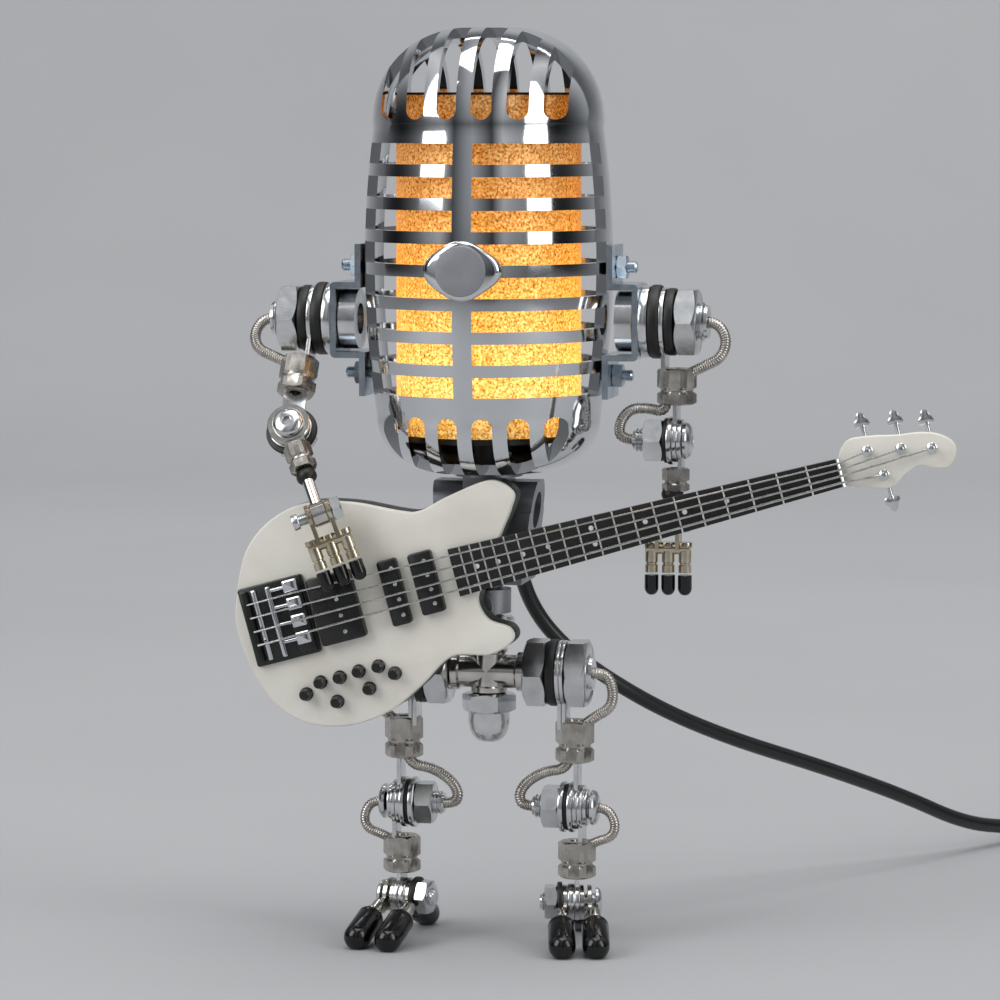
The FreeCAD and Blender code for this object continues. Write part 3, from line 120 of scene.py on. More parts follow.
AZIMUTH = math.radians(11.5)
SWEEP_FRONT, SWEEP_BACK, SWEEP_R = -1.4, 1.3, 0.7
SWEEP_HALF, SWEEP_H = 3.2, 3.0
sweep_line = [(SWEEP_FRONT, 0.0), (SWEEP_BACK, 0.0)]
for step in range(1, 13):
    turn = math.radians(90 * step / 12)
    sweep_line.append((SWEEP_BACK + SWEEP_R * math.sin(turn), SWEEP_R - SWEEP_R * math.cos(turn)))
sweep_line.append((SWEEP_BACK + SWEEP_R, SWEEP_H))
sweep = bpy.data.meshes.new("paper_sweep")
sweep_points = []
for depth, height in sweep_line:
    for across in (-SWEEP_HALF, SWEEP_HALF):
        sweep_points.append((
            across * math.cos(AZIMUTH) - depth * math.sin(AZIMUTH),
            across * math.sin(AZIMUTH) + depth * math.cos(AZIMUTH), height))
strips = [(2 * k, 2 * k + 1, 2 * k + 3, 2 * k + 2) for k in range(len(sweep_line) - 1)]
sweep.from_pydata(sweep_points, [], strips)
sweep.shade_smooth()
sweep.materials.append(paper)
backdrop = bpy.data.objects.new("paper_sweep", sweep)
scene.collection.objects.link(backdrop)

# The room round the paper has pale and dark bands that the chrome reflects.
# Past the paper the camera sees an even grey, close to the paper's own.
world = bpy.data.worlds.new("studio")
world.use_nodes = True
scene.world = world
way = add(world, "TexCoord").outputs["Generated"]
across_room = add(world, "SeparateXYZ", {}, {0: way}).outputs
walls = ramp(world, ranged(world, across_room["X"], 0.0, 1.0, -1.0), [
    (0.0, "#2E2F31"), (0.10, "#C9CBCE"), (0.20, "#F4F4F5"), (0.31, "#606266"), (0.42, "#B4B6B9"),
    (0.5, "#CDCFD1"), (0.58, "#A6A8AB"), (0.69, "#4E5053"), (0.79, "#F0F0F1"), (0.90, "#BCBEC0"),
    (1.0, "#2E2F31")])
heights = ramp(world, ranged(world, across_room["Z"], 0.0, 1.0, -1.0), [
    (0.0, "#8A8B8D"), (0.44, "#77787A"), (0.53, "#BDBEC0"), (0.75, "#E4E5E6"), (1.0, "#FFFFFF")])
both = add(world, "Mix", {"data_type": "RGBA", "blend_type": "MULTIPLY"}, {
    0: 1.0, 6: walls, 7: heights}).outputs[2]
room = world.node_tree.nodes["Background"]
seen = add(world, "LightPath").outputs["Is Camera Ray"]
shown = add(world, "Mix", {"data_type": "RGBA"}, {0: seen, 6: both, 7: colour("#B4B5B8")}).outputs[2]
world.node_tree.links.new(shown, room.inputs["Color"])
room.inputs["Strength"].default_value = 0.95


def lamp(name, stand, aim, size, power):
    """A white soft box of the given size, in metres, aimed at a point."""
    data = bpy.data.lights.new(name, "AREA")
    data.shape = "RECTANGLE"
    data.size, data.size_y = size
    data.energy = power
    box = bpy.data.objects.new(name, data)
    box.location = stand
    box.rotation_mode = "QUATERNION"
    box.rotation_quaternion = (Vector(aim) - Vector(stand)).to_track_quat("-Z", "Y")
    scene.collection.objects.link(box)


lamp("soft_box_left", (-0.85, -0.75, 0.75), (0, 0, 0.12), (0.7, 1.0), 7.5)
lamp("soft_box_right", (1.05, -0.45, 0.6), (0, 0, 0.12), (0.5, 1.0), 5.0)
lamp("top_light", (0.1, -0.1, 1.35), (0, 0, 0.1), (1.1, 0.9), 9.0)
lamp("back_wash", (0.0, 0.9, 1.5), (-0.3, 1.9, 0.6), (1.6, 0.6), 14.0)

view_camera = bpy.data.cameras.new("camera")
view_camera.sensor_width = 36.0
view_camera.lens = 149.76
view_camera.clip_start = 0.05
view_camera.clip_end = 30.0
camera = bpy.data.objects.new("camera", view_camera)
heading = AZIMUTH - math.radians(0.1515)
dip = math.radians(5.479)
camera.location = (0.17773, -1.01832, 0.212)
camera.rotation_mode = "QUATERNION"
camera.rotation_quaternion = Vector((
    -math.sin(heading) * math.cos(dip), math.cos(heading) * math.cos(dip),
    -math.sin(dip))).to_track_quat("-Z", "Y")
scene.collection.objects.link(camera)
scene.camera = camera
scene.view_settings.view_transform = "Standard"


# Power cord
# Round black PVC flex, 4 mm thick, from the back of the swivel block down to the floor behind the figure.
# It runs through a switch and is put away in a tied coil with a plug on its end, out of sight.
DRAWING_SHIFT = Vector((-29.6134, 0.8, 0.0))


def place(x, y, z):
    """A point of the figure's drawing, in millimetres from under its trunk, as metres of the frame."""
    return (Vector((x, y, z)) + DRAWING_SHIFT) * 0.001


CORD_R = 2.0
cord_route = [
    (0, 17.5, 101), (0, 27, 101), (0.4, 35, 92.5), (3.6, 39.5, 80), (11.5, 43.5, 69.5), (22.5, 49, 60.5),
    (36, 61, 50.5), (52, 78, 41), (72, 101, 31), (92, 126, 19.5), (107, 148, 8.5), (119, 168, 4.2),
    (125, 176.4, 4.2)]
SWITCH_L = 40.0
POINTS_A_TURN = 16
COIL_R = 24.0
COIL_PITCH = 4.5
COIL_TURNS = 1.5
COIL_LAYERS = 4
COIL_AFTER = 24.0
run_in = Vector(cord_route[-1]) - Vector(cord_route[-2])
run_in.z = 0
run_in.normalize()
across_run = Vector((-run_in.y, run_in.x, 0))
switch_start = Vector((*cord_route[-1][:2], 0))
switch_end = switch_start + run_in * SWITCH_L
coil_swing = COIL_PITCH * COIL_TURNS / 2
coil_centre = switch_end + run_in * COIL_AFTER - across_run * (COIL_R + coil_swing)
coil_start = math.atan2(across_run.y, across_run.x)


def coil_point(turns):
    """The cord's middle after so many turns: it spirals in, climbs a layer, and spirals out again."""
    span = COIL_TURNS + 0.5
    layer = min(int(turns / span), COIL_LAYERS - 1)
    within = turns - layer * span
    r = COIL_R + coil_swing - 2 * coil_swing * min(within, COIL_TURNS) / COIL_TURNS
    if layer % 2:
        r = 2 * COIL_R - r
    climb = max(0.0, within - COIL_TURNS) / 0.5
    z = CORD_R + 0.05 + (layer + climb * climb * (3 - 2 * climb)) * (2 * CORD_R + 0.45)
    r += (1 if layer % 2 else -1) * 0.8 * math.sin(math.pi * climb)
    angle = coil_start - 2 * math.pi * turns
    return coil_centre + Vector((r * math.cos(angle), r * math.sin(angle), z))


cord_points = list(cord_route)
for far, height in ((6, 3.4), (14, 2.5), (26, 2.5), (41, 2.5), (50, 2.5)):
    cord_points.append(tuple(switch_start + run_in * far + Vector((0, 0, height))))
cord_points.append(tuple(switch_end + run_in * 17 + Vector((0, 0, 2.6))))
coil_total = COIL_LAYERS * COIL_TURNS + (COIL_LAYERS - 1) * 0.5
coil_steps = int(coil_total * POINTS_A_TURN)
for step in range(coil_steps + 1):
    cord_points.append(tuple(coil_point(coil_total * step / coil_steps)))
coil_end = coil_point(coil_total)
leave = coil_end - coil_point(coil_total - 0.001)
leave.z = 0
leave.normalize()
beside = Vector((-leave.y, leave.x, 0))
plug_at = coil_end + leave * 46 - beside * 9
plug_at.z = 4.0
plug_way = (leave - beside * 0.45).normalized()
for far, height in ((9, 14.2), (19, 11.0), (29, 6.6)):
    spot = coil_end + leave * far - beside * (far * far / 260)
    cord_points.append((spot.x, spot.y, height))
cord_points.append(tuple(plug_at - plug_way * 9))
cord_points.append(tuple(plug_at + plug_way * 1.5))

# Extruded PVC: soft black with a dull sheen and slight waviness along its length.
pvc = new_material("black_pvc_flex")
surface(pvc, {
    "Base Color": ramp(pvc, grain(pvc, 6.0), [(0.3, "#0B0B0C"), (0.75, "#151516")]),
    "Roughness": ranged(pvc, grain(pvc, 1.5), 0.26, 0.4), "IOR": 1.53,
    "Normal": bumped(pvc, grain(pvc, 3.0), 0.35, 0.05)})


def nurbs(name, points, radius=0.0):
    """One open spline with the given points as its control points."""
    data = bpy.data.curves.new(name, "CURVE")
    data.dimensions = "3D"
    line = data.splines.new("NURBS")
    line.points.add(len(points) - 1)
    for knot, point in zip(line.points, points):
        knot.co = (*place(*point), 1.0)
    line.order_u = 3
    line.use_endpoint_u = True
    line.resolution_u = 10
    data.bevel_depth = radius / 1000
    data.bevel_resolution = 5
    data.use_fill_caps = True
    return data


cord_curve = nurbs("power_cord", cord_points, CORD_R)
cord_curve.materials.append(pvc)
cord = bpy.data.objects.new("power_cord", cord_curve)
scene.collection.objects.link(cord)
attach(cord, "trunk")
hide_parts("cord_lead", "cord_coil")


# Chromed metals and rubber of the hardware
# The figure is bolted together from plated steel nuts, bolts, washers, crimp lugs and ferrules.
# Each piece is turned or stamped, so edges are broken and the plating catches the light on them.
def piece(name, shape, body, mat, slot, stands_for=(), crease=35):
    """A mesh of a shape, which rides on its body and may stand for CAD nodes."""
    mesh = bpy.data.meshes.new(name)
    mesh.from_pydata([place(*p) for p in shape.points], [], shape.faces)
    tidy = bmesh.new()
    tidy.from_mesh(mesh)
    bmesh.ops.remove_doubles(tidy, verts=tidy.verts, dist=1e-7)
    bmesh.ops.recalc_face_normals(tidy, faces=tidy.faces)
    tidy.to_mesh(mesh)
    tidy.free()
    mesh.shade_smooth()
    mesh.set_sharp_from_angle(angle=math.radians(crease))
    mesh.materials.append(mat)
    made = bpy.data.objects.new(name, mesh)
    scene.collection.objects.link(made)
    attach(made, body)
    if stands_for:
        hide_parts(*stands_for)
    return made


class Shape:
    """Points and faces gathered for one piece, in millimetres of the drawing."""

    def __init__(self):
        self.points = []
        self.faces = []

    def moved(self, matrix):
        """The same shape with its points moved by a matrix, or left as they are where there is none."""
        if matrix is not None:
            self.points = [matrix @ Vector(p) for p in self.points]
        return self

    def rings(self, rings, closed=False):
        """Skin rings of equal counts of points. Closed joins last to first, else the ends are capped."""
        base = len(self.points)
        count = len(rings[0])
        for ring in rings:
            self.points += [tuple(p) for p in ring]
        last = len(rings) if closed else len(rings) - 1
        for i in range(last):
            here, there = base + i * count, base + (i + 1) % len(rings) * count
            for j in range(count):
                k = (j + 1) % count
                self.faces.append((here + j, here + k, there + k, there + j))
        if not closed:
            self.faces.append(tuple(range(base + count - 1, base - 1, -1)))
            top = base + (len(rings) - 1) * count
            self.faces.append(tuple(range(top, top + count)))

    def turned(self, profile, origin, along, up=(0, 0, 1), steps=48, bored=False, hexed=0.0):
        """Turn a profile of (radius, height) about an axis. A third value True makes that ring hexagonal."""
        axis = Vector(along).normalized()
        side = Vector(up)
        if abs(side.normalized().dot(axis)) > 0.99:
            side = Vector((0, 1, 0))
        side = (side - axis * side.dot(axis)).normalized()
        third = axis.cross(side)
        rings = []
        for mark in profile:
            radius, height = mark[0], mark[1]
            ring = []
            for k in range(steps):
                turn = 2 * math.pi * k / steps
                r, h = radius, height
                if len(mark) > 2:
                    flat = (math.degrees(turn) + 30) % 60 - 30
                    r = hexed / 2 / math.cos(math.radians(flat))
                    h = height + mark[2] * (r - radius) * 0.577
                ring.append(Vector(origin) + axis * h + (side * math.cos(turn) + third * math.sin(turn)) * r)
            rings.append(ring)
        self.rings(rings, closed=bored)

    def nut(self, origin, along, length, flats, bore, up=(0, 0, 1), both=True):
        """A hexagon nut with turned chamfers on its corners and a countersunk thread."""
        rc = flats / 2 * 0.965
        low = (rc, 0.0, 1.0) if both else (rc, 0.0, 0.0)
        self.turned([
            (bore, 0.35), (bore + 0.35, 0.0), (rc, 0.0), low, (rc, length, -1.0), (rc, length),
            (bore + 0.35, length), (bore, length - 0.35)], origin, along, up, 72, True, flats)

    def washer(self, origin, along, length, radius, bore, round_off=0.2):
        """A flat ring with its outer edge rounded."""
        e = min(round_off, length / 2.1)
        self.turned([
            (bore, 0), (radius - e, 0), (radius - e * 0.3, e * 0.3), (radius, e), (radius, length - e),
            (radius - e * 0.3, length - e * 0.3), (radius - e, length), (bore, length)], origin, along,
            bored=True)

    def thread(self, origin, along, length, radius, pitch, bore=0.0, steps=40):
        """A threaded rod with its end chamfered, and a bore where a hose goes in."""
        profile = [(max(bore, 0.02), length * 0.3 if bore else 0.0), (max(bore, 0.02), 0.0),
                   (radius - pitch * 0.7, 0.0)]
        height = pitch * 0.6
        while height < length - pitch * 0.4:
            profile.append((radius - pitch * 0.5, height))
            profile.append((radius, height + pitch * 0.35))
            profile.append((radius, height + pitch * 0.5))
            height += pitch
        profile += [(radius - pitch * 0.7, length), (max(bore, 0.02), length)]
        self.turned(profile, origin, along, steps=steps)


def plated(name, tints, rough, lump_mm, depth_mm, smudge_mm=5.0, **more):
    """A plated metal: two close tints in patches, roughness in smudges, and a slight uneven relief."""
    mat = new_material(name)
    return surface(mat, {
        "Base Color": ramp(mat, grain(mat, smudge_mm), [(0.3, tints[0]), (0.72, tints[1])]),
        "Metallic": 1.0,
        "Roughness": ranged(mat, grain(mat, smudge_mm * 0.35), rough[0], rough[1]),
        "Normal": bumped(mat, grain(mat, lump_mm), 0.25, depth_mm), **more})


# Bright zinc: clear plating, silver with a faint cool cast. Nickel: a shade warmer, as on pipe fittings.
bright_zinc = plated("bright_zinc_plate", ("#C9CBCC", "#E4E5E6"), (0.14, 0.26), 1.6, 0.02)
nickel = plated("bright_nickel_plate", ("#BFBCB6", "#DCD9D3"), (0.10, 0.22), 3.0, 0.02)
# Blue passivated zinc: bluish silver with a thin rainbow, duller than nickel.
blue_zinc = plated("blue_zinc_plate", ("#AEBBC8", "#D5DDE3"), (0.16, 0.30), 2.0, 0.02)
# Black oxide: dark steel, oily and semi matt.
black_oxide = plated("black_oxide_steel", ("#141414", "#242322"), (0.30, 0.45), 1.2, 0.02)
# Satin steel: brushed grey with a soft shine.
satin_steel = plated("satin_steel", ("#8F9194", "#A3A5A8"), (0.34, 0.42), 0.5, 0.01)

# Nitrile rubber: black, moulded, with a dull shine.
rubber = new_material("black_nitrile_rubber")
surface(rubber, {
    "Base Color": ramp(rubber, grain(rubber, 2.5), [(0.3, "#0A0A0A"), (0.8, "#161514")]),
    "Roughness": ranged(rubber, grain(rubber, 1.0), 0.38, 0.55), "IOR": 1.52,
    "Normal": bumped(rubber, grain(rubber, 0.6), 0.3, 0.03)})


# Tee, stem and nuts of the trunk
# A nickel plated pipe tee carries the hips on its arms, with an acorn nut under it and a threaded stem above.
# A round locknut under the swivel block clamps the stem.
HIP_Z = 69.0
tee = Shape()
collar = [
    (0.02, -9.6), (3.9, -9.6), (4.95, -9.2), (4.95, -7.6), (4.25, -7.1), (4.25, 7.1), (4.95, 7.6),
    (4.95, 9.2), (3.9, 9.6), (0.02, 9.6)]
tee.turned(collar, (0, 0, HIP_Z), (1, 0, 0), steps=64)
piece("pipe_tee_arms", tee, "trunk", nickel, "nickel_brass", ("tee",))
drop = Shape()
drop.turned([
    (0.02, -5.45), (3.9, -5.45), (4.6, -5.1), (4.6, -3.9), (4.25, -3.5), (4.25, 4.6), (4.7, 5.0),
    (4.7, 5.75), (0.02, 5.75)], (0, 0, HIP_Z), (0, 0, 1), steps=64)
piece("pipe_tee_drop", drop, "trunk", nickel, "nickel_brass")
stem = Shape()
stem.thread((0, 0, 74.7), (0, 0, 1), 21.0, 3.6, 1.0, 2.2, 56)
piece("threaded_stem", stem, "trunk", satin_steel, "black_oxide", ("stem_and_nuts",))
locknut = Shape()
ridged = [(3.7, 0.4), (4.0, 0.0), (5.8, 0.0), (6.4, 0.6), (6.4, 1.7), (6.15, 1.9), (6.15, 3.6), (6.4, 3.8),
          (6.4, 4.9), (5.8, 5.5), (4.0, 5.5), (3.7, 5.1)]
locknut.turned(ridged, (0, 0, 77.5), (0, 0, 1), steps=64, bored=True)
piece("stem_locknut", locknut, "trunk", bright_zinc, "bright_zinc")
acorn = Shape()
acorn.turned([
    (0.02, 0.0), (5.4, 0.0), (5.8, 0.0, 1.0), (5.8, 4.7, -1.0), (5.5, 4.7), (5.2, 5.2), (5.25, 7.3),
    (4.9, 9.3), (4.1, 11.0), (3.0, 12.0), (1.6, 12.45), (0.02, 12.5)], (0, 0, 63.55), (0, 0, -1), (0, 1, 0),
    72, False, 12.0)
piece("acorn_nut", acorn, "trunk", bright_zinc, "bright_zinc")


# Hips
# On each side of the tee come an M10 threaded tube, a nut, rubber, the thigh's lugs and a nut outside.
# The thigh's hose goes into the bore of the tube.
M10_R = 5.0
M10_FLATS = 16.0
hips = Shape()
for side in (1, -1):
    out = (side, 0, 0)
    hips.thread((side * 26.8, 0, HIP_Z), (-side, 0, 0), 17.2, M10_R, 1.25, 1.55)
    hips.nut((side * 9.7, 0, HIP_Z), out, 5.9, M10_FLATS, M10_R - 0.3)
    hips.nut((side * 20.3, 0, HIP_Z), out, 5.4, M10_FLATS, M10_R - 0.3)
piece("hip_nuts_and_tubes", hips, "trunk", bright_zinc, "bright_zinc", ("hip_hardware",))
hip_rubber = Shape()
for side in (1, -1):
    hip_rubber.washer((side * 15.65, 0, HIP_Z), (side, 0, 0), 2.35, 8.4, M10_R, 0.5)
piece("hip_rubber_washers", hip_rubber, "trunk", rubber, "black_rubber", ("hip_rubbers",))


# Crimp lugs, ferrules and ribbed hose
# Flat eyes stamped from strip and hexagonal crimped ferrules join the limbs.
# Short loops of ribbed stainless conduit, 2.8 mm thick, run from one bolt's bore to the next ferrule.
def plate(name, loops, thick, matrix, body, mat, slot, stands_for=(), edge=0.15):
    """A flat plate with holes: closed loops in its own plane, in millimetres, with rounded edges."""
    data = bpy.data.curves.new(name, "CURVE")
    data.dimensions = "2D"
    data.fill_mode = "BOTH"
    for loop in loops:
        line = data.splines.new("POLY")
        line.points.add(len(loop) - 1)
        for knot, (x, y) in zip(line.points, loop):
            knot.co = (x, y, 0, 1)
        line.use_cyclic_u = True
    data.extrude = thick / 2 - edge
    data.bevel_depth = edge
    data.bevel_resolution = 2
    data.offset = -edge
    form = bpy.data.objects.new(name, data)
    mesh = bpy.data.meshes.new_from_object(form)
    bpy.data.objects.remove(form)
    shape = Shape()
    shape.points = [matrix @ v.co for v in mesh.vertices]
    shape.faces = [tuple(f.vertices) for f in mesh.polygons]
    bpy.data.meshes.remove(mesh)
    return piece(name, shape, body, mat, slot, stands_for)


def circle(radius, steps=40, x=0.0, y=0.0):
    """A round loop."""
    return [(x + radius * math.cos(2 * math.pi * k / steps), y + radius * math.sin(2 * math.pi * k / steps))
            for k in range(steps)]


def eye(radius, half, reach, steps=40):
    """The outline of a ring lug: a round eye and a tail of the given half width and length along +Y."""
    start = math.asin(min(half / radius, 1.0))
    loop = [(half, reach), (half, radius * math.cos(start))]
    for k in range(steps + 1):
        turn = math.pi / 2 - start - (2 * math.pi - 2 * start) * k / steps
        loop.append((radius * math.cos(turn), radius * math.sin(turn)))
    loop += [(-half, radius * math.cos(start)), (-half, reach)]
    return loop


def lug(name, side, x0, z, radius, bore, z_to, half, thick, body, turn=None, stands_for=()):
    """A ring lug standing in the plane across a joint's axis, with its tail up or down to z_to."""
    way = 1 if z_to > z else -1
    middle = side * (x0 + thick / 2)
    frame_of = Matrix(((0, 0, side, middle), (way, 0, 0, 0), (0, way, 0, z), (0, 0, 0, 1)))
    if turn is not None:
        frame_of = turn @ frame_of
    return plate(name, [eye(radius, half, abs(z_to - z)), circle(bore)], thick, frame_of, body, bright_zinc,
                 "bright_zinc", stands_for)


def ferrule(name, low, high, flats, body, turn=None):
    """A hexagonal ferrule crimped on a hose, with one pressed groove."""
    shape = Shape()
    length = (Vector(high) - Vector(low)).length
    rc = flats / 2 * 0.95
    dent = flats / 2 - 0.25
    profile = [(1.5, 0.8), (1.8, 0.0), (rc, 0.0), (rc, 0.0, 1.0), (flats / 2, length * 0.3, 0.0),
               (dent, length * 0.36), (dent, length * 0.42), (flats / 2, length * 0.48, 0.0),
               (rc, length, -1.0), (rc, length), (1.8, length), (1.5, length - 0.8)]
    shape.turned(profile, low, Vector(high) - Vector(low), (0, 1, 0), 72, True, flats)
    return piece(name, shape.moved(turn), body, ferrule_nickel, "nickel_brass")


def run_of(points):
    """The line of a spline with the given control points, in millimetres of the drawing."""
    data = nurbs("run", points)
    data.splines[0].resolution_u = 24
    form = bpy.data.objects.new("run", data)
    mesh = bpy.data.meshes.new_from_object(form)
    line = [v.co * 1000 - DRAWING_SHIFT for v in mesh.vertices]
    bpy.data.objects.remove(form)
    bpy.data.curves.remove(data)
    bpy.data.meshes.remove(mesh)
    return line


def even(line, step):
    """Points at equal steps along a line."""
    out = [line[0]]
    left = step
    for a, b in zip(line, line[1:]):
        run = (b - a).length
        while run > left:
            a = a + (b - a) * (left / run)
            run = (b - a).length
            out.append(a)
            left = step
        left -= run
    return out


# The real ribs are about 0.5 mm apart, and are drawn a little coarser so that they show.
RIB_PITCH = 0.62


def ribbed_hose(name, points, body, stands_for=(), radius=1.4, turn=None):
    """Ribbed conduit along a smooth run."""
    line = even(run_of(points), RIB_PITCH / 4)
    rings = []
    up = Vector((0.13, 1, 0.07))
    for i, spot in enumerate(line):
        ahead = (line[min(i + 1, len(line) - 1)] - line[max(i - 1, 0)]).normalized()
        up = (up - ahead * up.dot(ahead)).normalized()
        right = ahead.cross(up)
        r = radius * (1.0, 0.97, 0.86, 0.97)[i % 4]
        ring = []
        for k in range(16):
            angle = math.pi * k / 8
            ring.append(spot + (up * math.cos(angle) + right * math.sin(angle)) * r)
        rings.append(ring)
    shape = Shape()
    shape.rings(rings)
    return piece(name, shape.moved(turn), body, conduit, "spring_steel", stands_for, crease=80)


# Stainless conduit: pale grey and brown grey tints in patches over the ribs.
conduit = plated("ribbed_stainless_conduit", ("#A39E97", "#CFCBC4"), (0.20, 0.34), 0.8, 0.02, 3.0)
# Crimped nickel: warm grey with a soft sheen from the press tool.
ferrule_nickel = plated("crimped_nickel", ("#A19C94", "#C6C2BB"), (0.20, 0.32), 1.0, 0.02, 3.0)


def domed(shape, origin, along, radius, height, up=(0, 0, 1)):
    """A domed bolt head with a round recess in its middle."""
    shape.turned([
        (0.02, 0.0), (radius, 0.0), (radius, height * 0.35), (radius * 0.9, height * 0.66),
        (radius * 0.72, height * 0.88), (radius * 0.48, height), (radius * 0.34, height),
        (radius * 0.3, height * 0.9), (radius * 0.3, height * 0.45), (0.02, height * 0.45)], origin, along,
        up, 40)


# Legs
# Thigh and shin are lugs and a ferrule each, bolted at the joints, with loops of conduit beside these.
# The knee's M6 bolt carries a nut, steel washers and a black rubber washer.
KNEE_Z = 35.0
ANKLE_Z = 10.87968
SPLAY = 12.0
M6_R = 3.0
M6_FLATS = 10.0
SHIN_X = 22.6


def about(point, angle, axis):
    """A turn by an angle about an axis through a point."""
    there = Matrix.Translation(point)
    back = Matrix.Translation([-c for c in point])
    return there @ Matrix.Rotation(angle, 4, axis) @ back


for side, hand_name in ((1, "left"), (-1, "right")):
    thigh_body = hand_name + "_thigh"
    shin_body = hand_name + "_shin"
    out = (side, 0, 0)
    lug(hand_name + "_hip_lug", side, 18.1, HIP_Z, 8.2, 5.05, 55.0, 3.5, 1.0, thigh_body, None,
        (hand_name + "_thigh",))
    lug(hand_name + "_hip_lug_outer", side, 19.2, HIP_Z, 8.2, 5.05, 55.0, 3.5, 0.95, thigh_body)
    ferrule(hand_name + "_thigh_ferrule", (side * 22.0, 0, 46.6), (side * 22.0, 0, 57.0), 8.6, thigh_body)
    lug(hand_name + "_knee_lug", side, 22.2, KNEE_Z, 5.6, 3.05, 48.6, 3.0, 1.1, thigh_body)
    ribbed_hose(hand_name + "_thigh_hose_loop", [
        (side * 25.0, 0, HIP_Z), (side * 29.6, 0, HIP_Z + 0.6), (side * 31.8, 0, 65.5),
        (side * 31.4, 0, 60.5), (side * 27.0, 0, 58.0), (side * 23.6, 0, 55.4)], thigh_body,
        (hand_name + "_thigh_hose",))
    ribbed_hose(hand_name + "_knee_hose_loop", [
        (side * 21.0, -1.0, 48.2), (side * 20.4, -1.0, 44.8), (side * 14.4, -1.0, 44.0),
        (side * 9.6, -0.8, 41.0), (side * 7.6, -0.4, 37.4), (side * 9.0, 0, KNEE_Z - 0.4),
        (side * 14.4, 0, KNEE_Z)], thigh_body)
    knee = Shape()
    knee.thread((side * 11.4, 0, KNEE_Z), out, 14.9, M6_R, 0.9, 1.5)
    domed(knee, (side * 26.4, 0, KNEE_Z), out, 4.4, 1.9)
    knee.nut((side * 14.0, 0, KNEE_Z), out, 4.6, M6_FLATS, M6_R - 0.25)
    knee.washer((side * 18.65, 0, KNEE_Z), out, 1.25, 6.4, M6_R)
    knee.washer((side * 20.95, 0, KNEE_Z), out, 1.2, 6.4, M6_R)
    piece(hand_name + "_knee_bolt", knee, thigh_body, bright_zinc, "bright_zinc",
          (hand_name + "_knee_hardware",))
    knee_rubber = Shape()
    knee_rubber.washer((side * 19.93, 0, KNEE_Z), out, 0.98, 5.9, M6_R, 0.3)
    piece(hand_name + "_knee_rubber", knee_rubber, thigh_body, rubber, "black_rubber")
    splay = about((side * SHIN_X, 0, 0), math.radians(side * SPLAY), "Z")
    lug(hand_name + "_shin_lug", side, 23.4, KNEE_Z, 5.6, 3.05, 24.0, 3.0, 1.1, shin_body, None,
        (hand_name + "_shin",))
    shin_ring = Shape()
    shin_ring.washer((side * 24.5, 0, KNEE_Z), out, 1.1, 4.6, M6_R)
    piece(hand_name + "_shin_ring", shin_ring, shin_body, bright_zinc, "bright_zinc")
    ferrule(hand_name + "_shin_ferrule", (side * SHIN_X, 0, 17.2), (side * SHIN_X, 0, 26.4), 8.4, shin_body)
    lug(hand_name + "_ankle_lug", side, 22.05, ANKLE_Z, 4.7, 2.3, 19.0, 2.3, 1.1, shin_body, splay)
    ribbed_hose(hand_name + "_shin_hose_loop", [
        (side * 27.2, 0, KNEE_Z), (side * 30.4, 0, 35.0), (side * 32.6, 0, 31.0), (side * 31.6, 0, 27.6),
        (side * 27.4, 0, 26.4), (side * 23.6, 0, 24.2)], shin_body, (hand_name + "_shin_hose",), 1.26)


# Feet
# Three toes of rod with glossy black vinyl caps, two forward and one back, on one bolt through the ankle.
# Each cap sits in a plated collar.
TOE_R = 3.45
TOE_LEAN = math.radians(24.0)
TOE_ROOT = 6.6
TOE_CAP_START = 3.6
